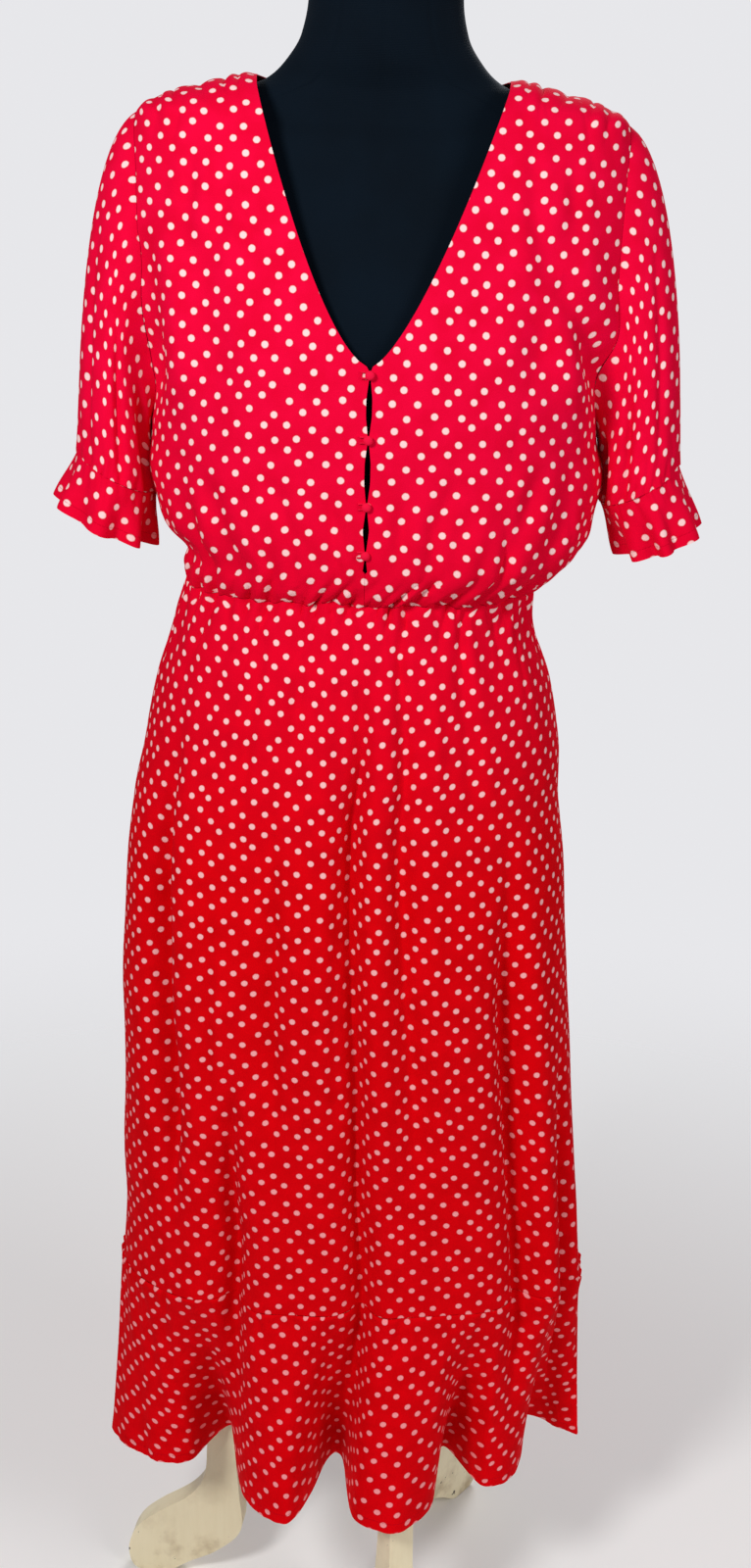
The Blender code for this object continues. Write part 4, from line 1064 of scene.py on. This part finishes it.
# %% Sleeve
def sleeve(word, side, cuff_out, cuff_in):
    columns, rows, steps = 150, 64, len(ARM_SHARES) - 1
    turn = np.linspace(0, 2 * pi, columns, endpoint=False)
    step = turn / pi * steps
    z = arm_height(np.interp(np.abs(steps - step), range(steps + 1), ARM_SHARES))
    angle = np.where(step <= steps, edge_angle(z, "front") * side, 180 - edge_angle(z, "back") * side)
    start = section(BODICE, angle, z)
    up = ((1 + np.cos(turn)) / 2)[:, None]
    flip = np.array((side, 1, 1))
    leave = mix(np.array(SLEEVE_LEAVE[0]), np.array(SLEEVE_LEAVE[1]), up) * flip
    arrive = mix(np.array(SLEEVE_ARRIVE[0]), np.array(SLEEVE_ARRIVE[1]), up) * flip
    away = mix(np.array((side, 0, 0)), unit(leave), up)
    start = start + away * SEAM
    end, _ = oval(side, cuff_out, cuff_in, CUFF_DEPTH, turn)
    end[:, 2] += SEAM / 2
    t = np.linspace(0, 1, rows)[:, None, None]
    base = curve(start[None], end[None], leave[None], arrive[None], t)
    out = directions(base, ring=True)
    middle = base.mean(axis=1, keepdims=True)
    out = out * np.sign((out * (base - middle)).sum(axis=-1).mean())
    long = arc(base, 0)
    push = gathers(turn / (2 * pi) * CUFF_ROUND, long[-1] - long, CUFF_ROWS, 3.0 + side)
    for depth, width, centre, first, last in SLEEVE_CREASES:
        centre = centre + CREASE_LEAN * (t[..., 0] - 0.5) + (LEFT_TURN if side > 0 else 0)
        apart = np.angle(np.exp(1j * (turn - centre))) * SLEEVE_RADIUS
        along = np.clip((t[..., 0] - first) / (last - first), 0, 1)
        push = push + depth * np.sin(pi * along) ** 0.7 * bell(apart / width)
    push = push * ease(t[..., 0] / PUSH_IN)
    hollow = np.where(start[:, 1] < 0, creases(start[:, 0], z, BODICE_FRONT_CREASES),
                      creases(start[:, 0], z, BODICE_BACK_CREASES))
    shift = level_out(BODICE, angle, z) * hollow[:, None]
    push = out * push[..., None] + shift * (1 - ease(t / HOLLOW_OUT))
    return ring_piece("sleeve_%s_cloth" % word, base, out, push, SLEEVE_START + SIDE_START * side)


print("steps of half an armhole", len(ARM_SHARES) - 1)

# %% Frill, and all four pieces
def frill(word, side, cuff_out, cuff_in, hem_out, hem_in):
    columns, rows = 180, 24
    turn = np.linspace(0, 2 * pi, columns, endpoint=False)
    grid, out = [], []
    for t in np.linspace(0, 1, rows):
        ends = [tuple(mix(np.array(a), np.array(b), t)) for a, b in ((cuff_out, hem_out), (cuff_in, hem_in))]
        point, way = oval(side, *ends, mix(CUFF_DEPTH, FRILL_DEPTH, t), turn)
        grid.append(point)
        out.append(way)
    base, out = np.array(grid), np.array(out)
    t = np.linspace(0, 1, rows)[:, None]
    s = turn / (2 * pi) * CUFF_ROUND
    long = arc(base, 0)
    flare = FRILL_FLARE * ease(t) * np.cos(FRILL_WAVES * turn + 0.5 * np.sin(3 * turn + side))
    push = gathers(s, long, FRILL_ROWS, 3.0 + side) + flare
    push = out * push[..., None]
    push[0, :, 2] -= SEAM / 2
    start = FRILL_START + SIDE_START * side
    return ring_piece("cuff_frill_%s_cloth" % word, base, out, push, start, hem=True)


sleeve_pieces, frill_pieces = {}, {}
for word, row in SLEEVES.items():
    sleeve_pieces[word] = dress_piece(sleeve(word, *row[:3]), "sleeve_" + word)
    frill_pieces[word] = dress_piece(frill(word, *row), "cuff_frill_" + word)

# %% [markdown]
# ## Buttons and loops
# Four small buttons covered in plain red crepe sit on a shank, and each is held by a loop of
# narrow rolled cloth. A lathe profile makes the button and a swept circle makes the loop.

# %% Lathe and tube
def ring_faces(rings, sides, first=0):
    """Quads between rings of points that follow each other."""
    return [(first + r * sides + j, first + r * sides + (j + 1) % sides,
             first + (r + 1) * sides + (j + 1) % sides, first + (r + 1) * sides + j)
            for r in range(rings - 1) for j in range(sides)]


def capped(rings, sides):
    """Faces of a tube of rings with a flat face at each end."""
    return ring_faces(rings, sides) + [tuple(range(sides))[::-1],
                                       tuple((rings - 1) * sides + j for j in range(sides))]


def lathe(profile, sides, wobble=lambda turn, high: 0):
    """Vertices and faces of a turned solid."""
    turns = [2 * pi * j / sides for j in range(sides)]
    points = [(0, 0, profile[0][1])]
    for radius, high in profile[1:-1]:
        reaches = [radius + wobble(turn, high) for turn in turns]
        points += [(reach * cos(turn), reach * sin(turn), high) for reach, turn in zip(reaches, turns)]
    points.append((0, 0, profile[-1][1]))
    faces = [(0, 1 + (j + 1) % sides, 1 + j) for j in range(sides)]
    faces += ring_faces(len(profile) - 2, sides, 1)
    low, top = 1 + (len(profile) - 3) * sides, len(points) - 1
    faces += [(low + j, low + (j + 1) % sides, top) for j in range(sides)]
    return points, faces


def solid(name, points, faces, look, place=Matrix.Identity(4)):
    """An object from vertices and faces, with the two maps that the cloth finish reads."""
    mesh = bpy.data.meshes.new(name)
    mesh.from_pydata([place @ Vector(point) for point in points], [], faces)
    spots = np.array([(points[v][0], points[v][1] + points[v][2]) for face in faces for v in face])
    for layer, table in (("cut", spots), ("edge", spots * 0 + FAR_EDGE)):
        mesh.uv_layers.new(name=layer).data.foreach_set("uv", table.ravel())
    return placed(name, mesh, look, 40)


def tube(path, radius, sides=12):
    """Vertices and faces of a round cord along a path in the XY plane, closed at its ends."""
    path = np.array(path)
    along = np.gradient(path, axis=0)
    along /= np.linalg.norm(along, axis=1, keepdims=True)
    side = np.stack((along[:, 1], -along[:, 0], 0 * along[:, 0]), axis=1)
    up, turns = np.array((0, 0, 1)), [2 * pi * j / sides for j in range(sides)]
    points = [tuple(spot + radius * (across * cos(turn) + up * sin(turn)))
              for spot, across in zip(path, side) for turn in turns]
    return points, capped(len(path), sides)


print("faces of a capped tube of 3 rings and 4 sides", len(capped(3, 4)))

# %% Buttons and loops
SHANK_R, BUTTON_LIFT = 0.0011, 0.0006
LOOP_WIRE, LOOP_BEND, LOOP_REACH, BEND_STEPS = 0.0007, 0.0023, 0.0068, 16
BUTTON_SIDES, BUTTON_UNEVEN = 36, 0.00006
BUTTON_PROFILE = ((0.0, 0.0), (SHANK_R, 0.0), (SHANK_R, 0.0020), (0.0026, 0.0021), (0.0034, 0.0022),
                  (0.0037, 0.0026), (0.0038, 0.0032), (0.0036, 0.0039), (0.0030, 0.0047), (0.0020, 0.0052),
                  (0.0010, 0.0055), (0.0, 0.0056))
for number, z in enumerate(BUTTON_Z):
    z = np.array(z)
    angle = angle_at(np.array(SLIT_X), z)
    base = section(BODICE, angle, z)
    up = section(BODICE, angle, z + 0.0015) - section(BODICE, angle, z - 0.0015)
    out = np.cross((1, 0, 0), up)
    out = out / np.linalg.norm(out)
    lean = np.arctan2(out[2], -out[1])
    spot = Vector(base + out * BUTTON_LIFT) + Vector((AXIS_X, AXIS_Y, 0))
    place = Matrix.Translation(spot) @ Matrix.Rotation(pi / 2 - lean, 4, "X")
    points, faces = lathe(BUTTON_PROFILE, BUTTON_SIDES,
                          lambda turn, high: BUTTON_UNEVEN * sin(9 * turn + high * 900))
    button = solid("button_%d_covered" % (number + 1), points, faces, plain_crepe, place)
    dress_piece(button, "button_%d" % (number + 1))
    arm = np.linspace(-LOOP_REACH, 0, 9)
    path = [(x, LOOP_BEND, LOOP_WIRE) for x in arm[:-1]]
    bend = [pi * k / BEND_STEPS for k in range(BEND_STEPS + 1)]
    path += [(LOOP_BEND * sin(turn), LOOP_BEND * cos(turn), LOOP_WIRE) for turn in bend]
    path += [(x, -LOOP_BEND, LOOP_WIRE) for x in arm[::-1][1:]]
    points, faces = tube(path, LOOP_WIRE)
    loop = solid("loop_%d_rolled" % (number + 1), points, faces, plain_crepe, place)
    dress_piece(loop, "loop_%d" % (number + 1))

# %% [markdown]
# ## Dress form
# A padded torso under a black jersey cover. Panels are joined by fine sunk seams down the
# middle, over the bust and at the sides. The neck ends in a plain cap.

# %% Torso of the form
FORM = {
    "z": (0.800, 0.812, 0.860, 0.930, 1.000, 1.062, 1.130, 1.200, 1.270, 1.340, 1.395, 1.425, 1.4386,
          1.4529, 1.4614, 1.4688, 1.485, 1.505, 1.530, 1.556, 1.566),
    "half": (0.124, 0.136, 0.150, 0.148, 0.136, 0.126, 0.138, 0.150, 0.158, 0.176, 0.190, 0.195, 0.196,
             0.160, 0.127, 0.0985, 0.080, 0.068, 0.063, 0.062, 0.056),
    "front": (0.080, 0.092, 0.103, 0.102, 0.096, 0.090, 0.102, 0.114, 0.110, 0.092, 0.070, 0.056, 0.044,
              0.042, 0.042, 0.044, 0.050, 0.054, 0.056, 0.057, 0.051),
    "back": (0.085, 0.100, 0.112, 0.108, 0.094, 0.080, 0.088, 0.094, 0.094, 0.088, 0.072, 0.056, 0.042,
             0.040, 0.040, 0.043, 0.052, 0.057, 0.058, 0.058, 0.052),
}
SEAM_TURNS = (0, 34, 90, 146, 180, 214, 270, 326)
SUNK, SUNK_WIDTH, INSET = 0.0009, 0.0016, 0.0009
FORM_LOW, FORM_SHOULDER, FORM_TOP = FORM["z"][0], 1.420, FORM["z"][-1]
columns = 180
heights = np.concatenate((np.linspace(FORM_LOW, FORM_SHOULDER, 90, endpoint=False),
                          np.linspace(FORM_SHOULDER, FORM_TOP, 60)))
turn, z = np.meshgrid(np.linspace(0, 360, columns, endpoint=False), heights)
depth = np.where(np.cos(np.radians(turn)) > 0, read(FORM, "front", z), read(FORM, "back", z)) - INSET
half = read(FORM, "half", z) - INSET
for seam in SEAM_TURNS:
    apart = (turn - seam + 180) % 360 - 180
    sunk = SUNK * bell(np.radians(apart) * half / SUNK_WIDTH)
    half, depth = half - sunk, depth - sunk
grid = np.stack((half * np.sin(np.radians(turn)), -depth * np.cos(np.radians(turn)), z), -1)
grid = grid + np.array((AXIS_X, AXIS_Y, 0))
points = [tuple(point) for point in grid.reshape(-1, 3)]
torso = solid("form_torso_cover", points, capped(len(heights), columns), black_jersey)
dress_piece(torso, "form_torso")

# %% [markdown]
# ## Stand
# A turned pole stands in a collar, and three legs sawn from thick board meet there. The saw
# cut is a smooth S, and the paint has rounded the board's edges, which a bevel copies.

# %% Pole
POLE_R, POLE_TOP = 0.014, 0.7997
COLLAR_R, COLLAR_LOW, COLLAR_TOP = 0.021, 0.205, 0.300
pole_profile = [
    (0, COLLAR_LOW), (COLLAR_R - 0.006, COLLAR_LOW), (COLLAR_R - 0.002, COLLAR_LOW + 0.002),
    (COLLAR_R, COLLAR_LOW + 0.006), (COLLAR_R, COLLAR_TOP - 0.012),
    (COLLAR_R - 0.001, COLLAR_TOP - 0.008), (COLLAR_R - 0.004, COLLAR_TOP - 0.003),
    (POLE_R + 0.0006, COLLAR_TOP), (POLE_R, COLLAR_TOP + 0.004),
]
pole_profile += [(POLE_R, z) for z in np.linspace(0.35, POLE_TOP, 12)] + [(0, POLE_TOP)]
points, faces = lathe(pole_profile, 40)
pole = solid("stand_pole_painted", points, faces, cream_paint, Matrix.Translation((AXIS_X, AXIS_Y, 0)))
dress_piece(pole, "stand_pole")

# %% Legs
LEG_THICK, LEG_ANGLES, EDGE_ROUND = 0.024, (173, 293, 53), 0.0026
LEG = (
    (0.0213, 0.285), (0.060, 0.292), (0.100, 0.270), (0.130, 0.225), (0.1405, 0.170), (0.144, 0.125),
    (0.160, 0.098), (0.195, 0.072), (0.215, 0.052), (0.224, 0.028), (0.221, 0.008), (0.211, 0.000),
    (0.186, 0.000), (0.160, 0.016), (0.130, 0.034), (0.106, 0.062), (0.108, 0.105), (0.112, 0.160),
    (0.104, 0.198), (0.078, 0.222), (0.0213, 0.225),
)


def smooth_outline(rows, steps=6):
    """The outline as a smooth curve, with its joint and its sole kept straight."""
    rows = np.array(rows)
    line = [rows[0]]
    for k in range(len(rows) - 1):
        if rows[k][1] == 0 and rows[k + 1][1] == 0:
            line.append(rows[k + 1])
            continue
        before, after = rows[max(k - 1, 0)], rows[min(k + 2, len(rows) - 1)]
        for j in range(1, steps + 1):
            point = curve(rows[k], rows[k + 1], (rows[k + 1] - before) / 2, (after - rows[k]) / 2, j / steps)
            line.append(np.array((max(point[0], rows[0][0]), max(point[1], 0.0))))
    return line


def leg(name, turn):
    line = smooth_outline(LEG)
    count = len(line)
    mesh = bpy.data.meshes.new(name)
    build = bmesh.new()
    corners = [build.verts.new((p[0], y, p[1])) for y in (-LEG_THICK / 2, LEG_THICK / 2) for p in line]
    build.faces.new(corners[:count])
    build.faces.new(corners[count:][::-1])
    for k in range(count):
        after = (k + 1) % count
        build.faces.new((corners[after], corners[k], corners[count + k], corners[count + after]))
    bmesh.ops.recalc_face_normals(build, faces=build.faces)
    rim = [e for e in build.edges if abs(e.verts[0].co.y - e.verts[1].co.y) < 1e-9
           and max(v.co.x for v in e.verts) > 0.03]
    bmesh.ops.bevel(build, geom=rim, offset=EDGE_ROUND, segments=3, profile=0.5, affect="EDGES",
                    clamp_overlap=True)
    bmesh.ops.transform(build, verts=build.verts, matrix=Matrix.Translation((AXIS_X, AXIS_Y, 0))
                        @ Matrix.Rotation(radians(turn), 4, "Z"))
    build.to_mesh(mesh)
    build.free()
    return placed(name, mesh, cream_paint, 35)


for number, turn in enumerate(LEG_ANGLES):
    name = "stand_leg_%d" % (number + 1)
    dress_piece(leg(name + "_painted", turn), name)

# %% [markdown]
# ## Flat cuts
# Every cloth piece states the flat size that it was cut to. A gathered piece was cut wider
# than it now measures.

# %% Flat cuts
def cut_of(piece, flat, area=None):
    measured = sum(face.area for face in piece.data.polygons) / 2
    stated = area if area else flat[0] * flat[1]
    print("%-24s flat %.3f x %.3f, share of flat cloth %.2f" % (piece.name, *flat, measured / stated))


for half in ("front", "back"):
    cut_of(skirt_pieces[half], (0.66, 0.69))
    cut_of(flounce_pieces[half], (0.80, 0.215))
for word in ("right", "left"):
    cut_of(bodice_pieces[word], (0.32, 0.45), area=0.105)
    cut_of(sleeve_pieces[word], (0.34, 0.24), area=0.060)
    cut_of(frill_pieces[word], (0.42, 0.048))
cut_of(bodice_pieces["back"], (0.58, 0.44), area=0.195)
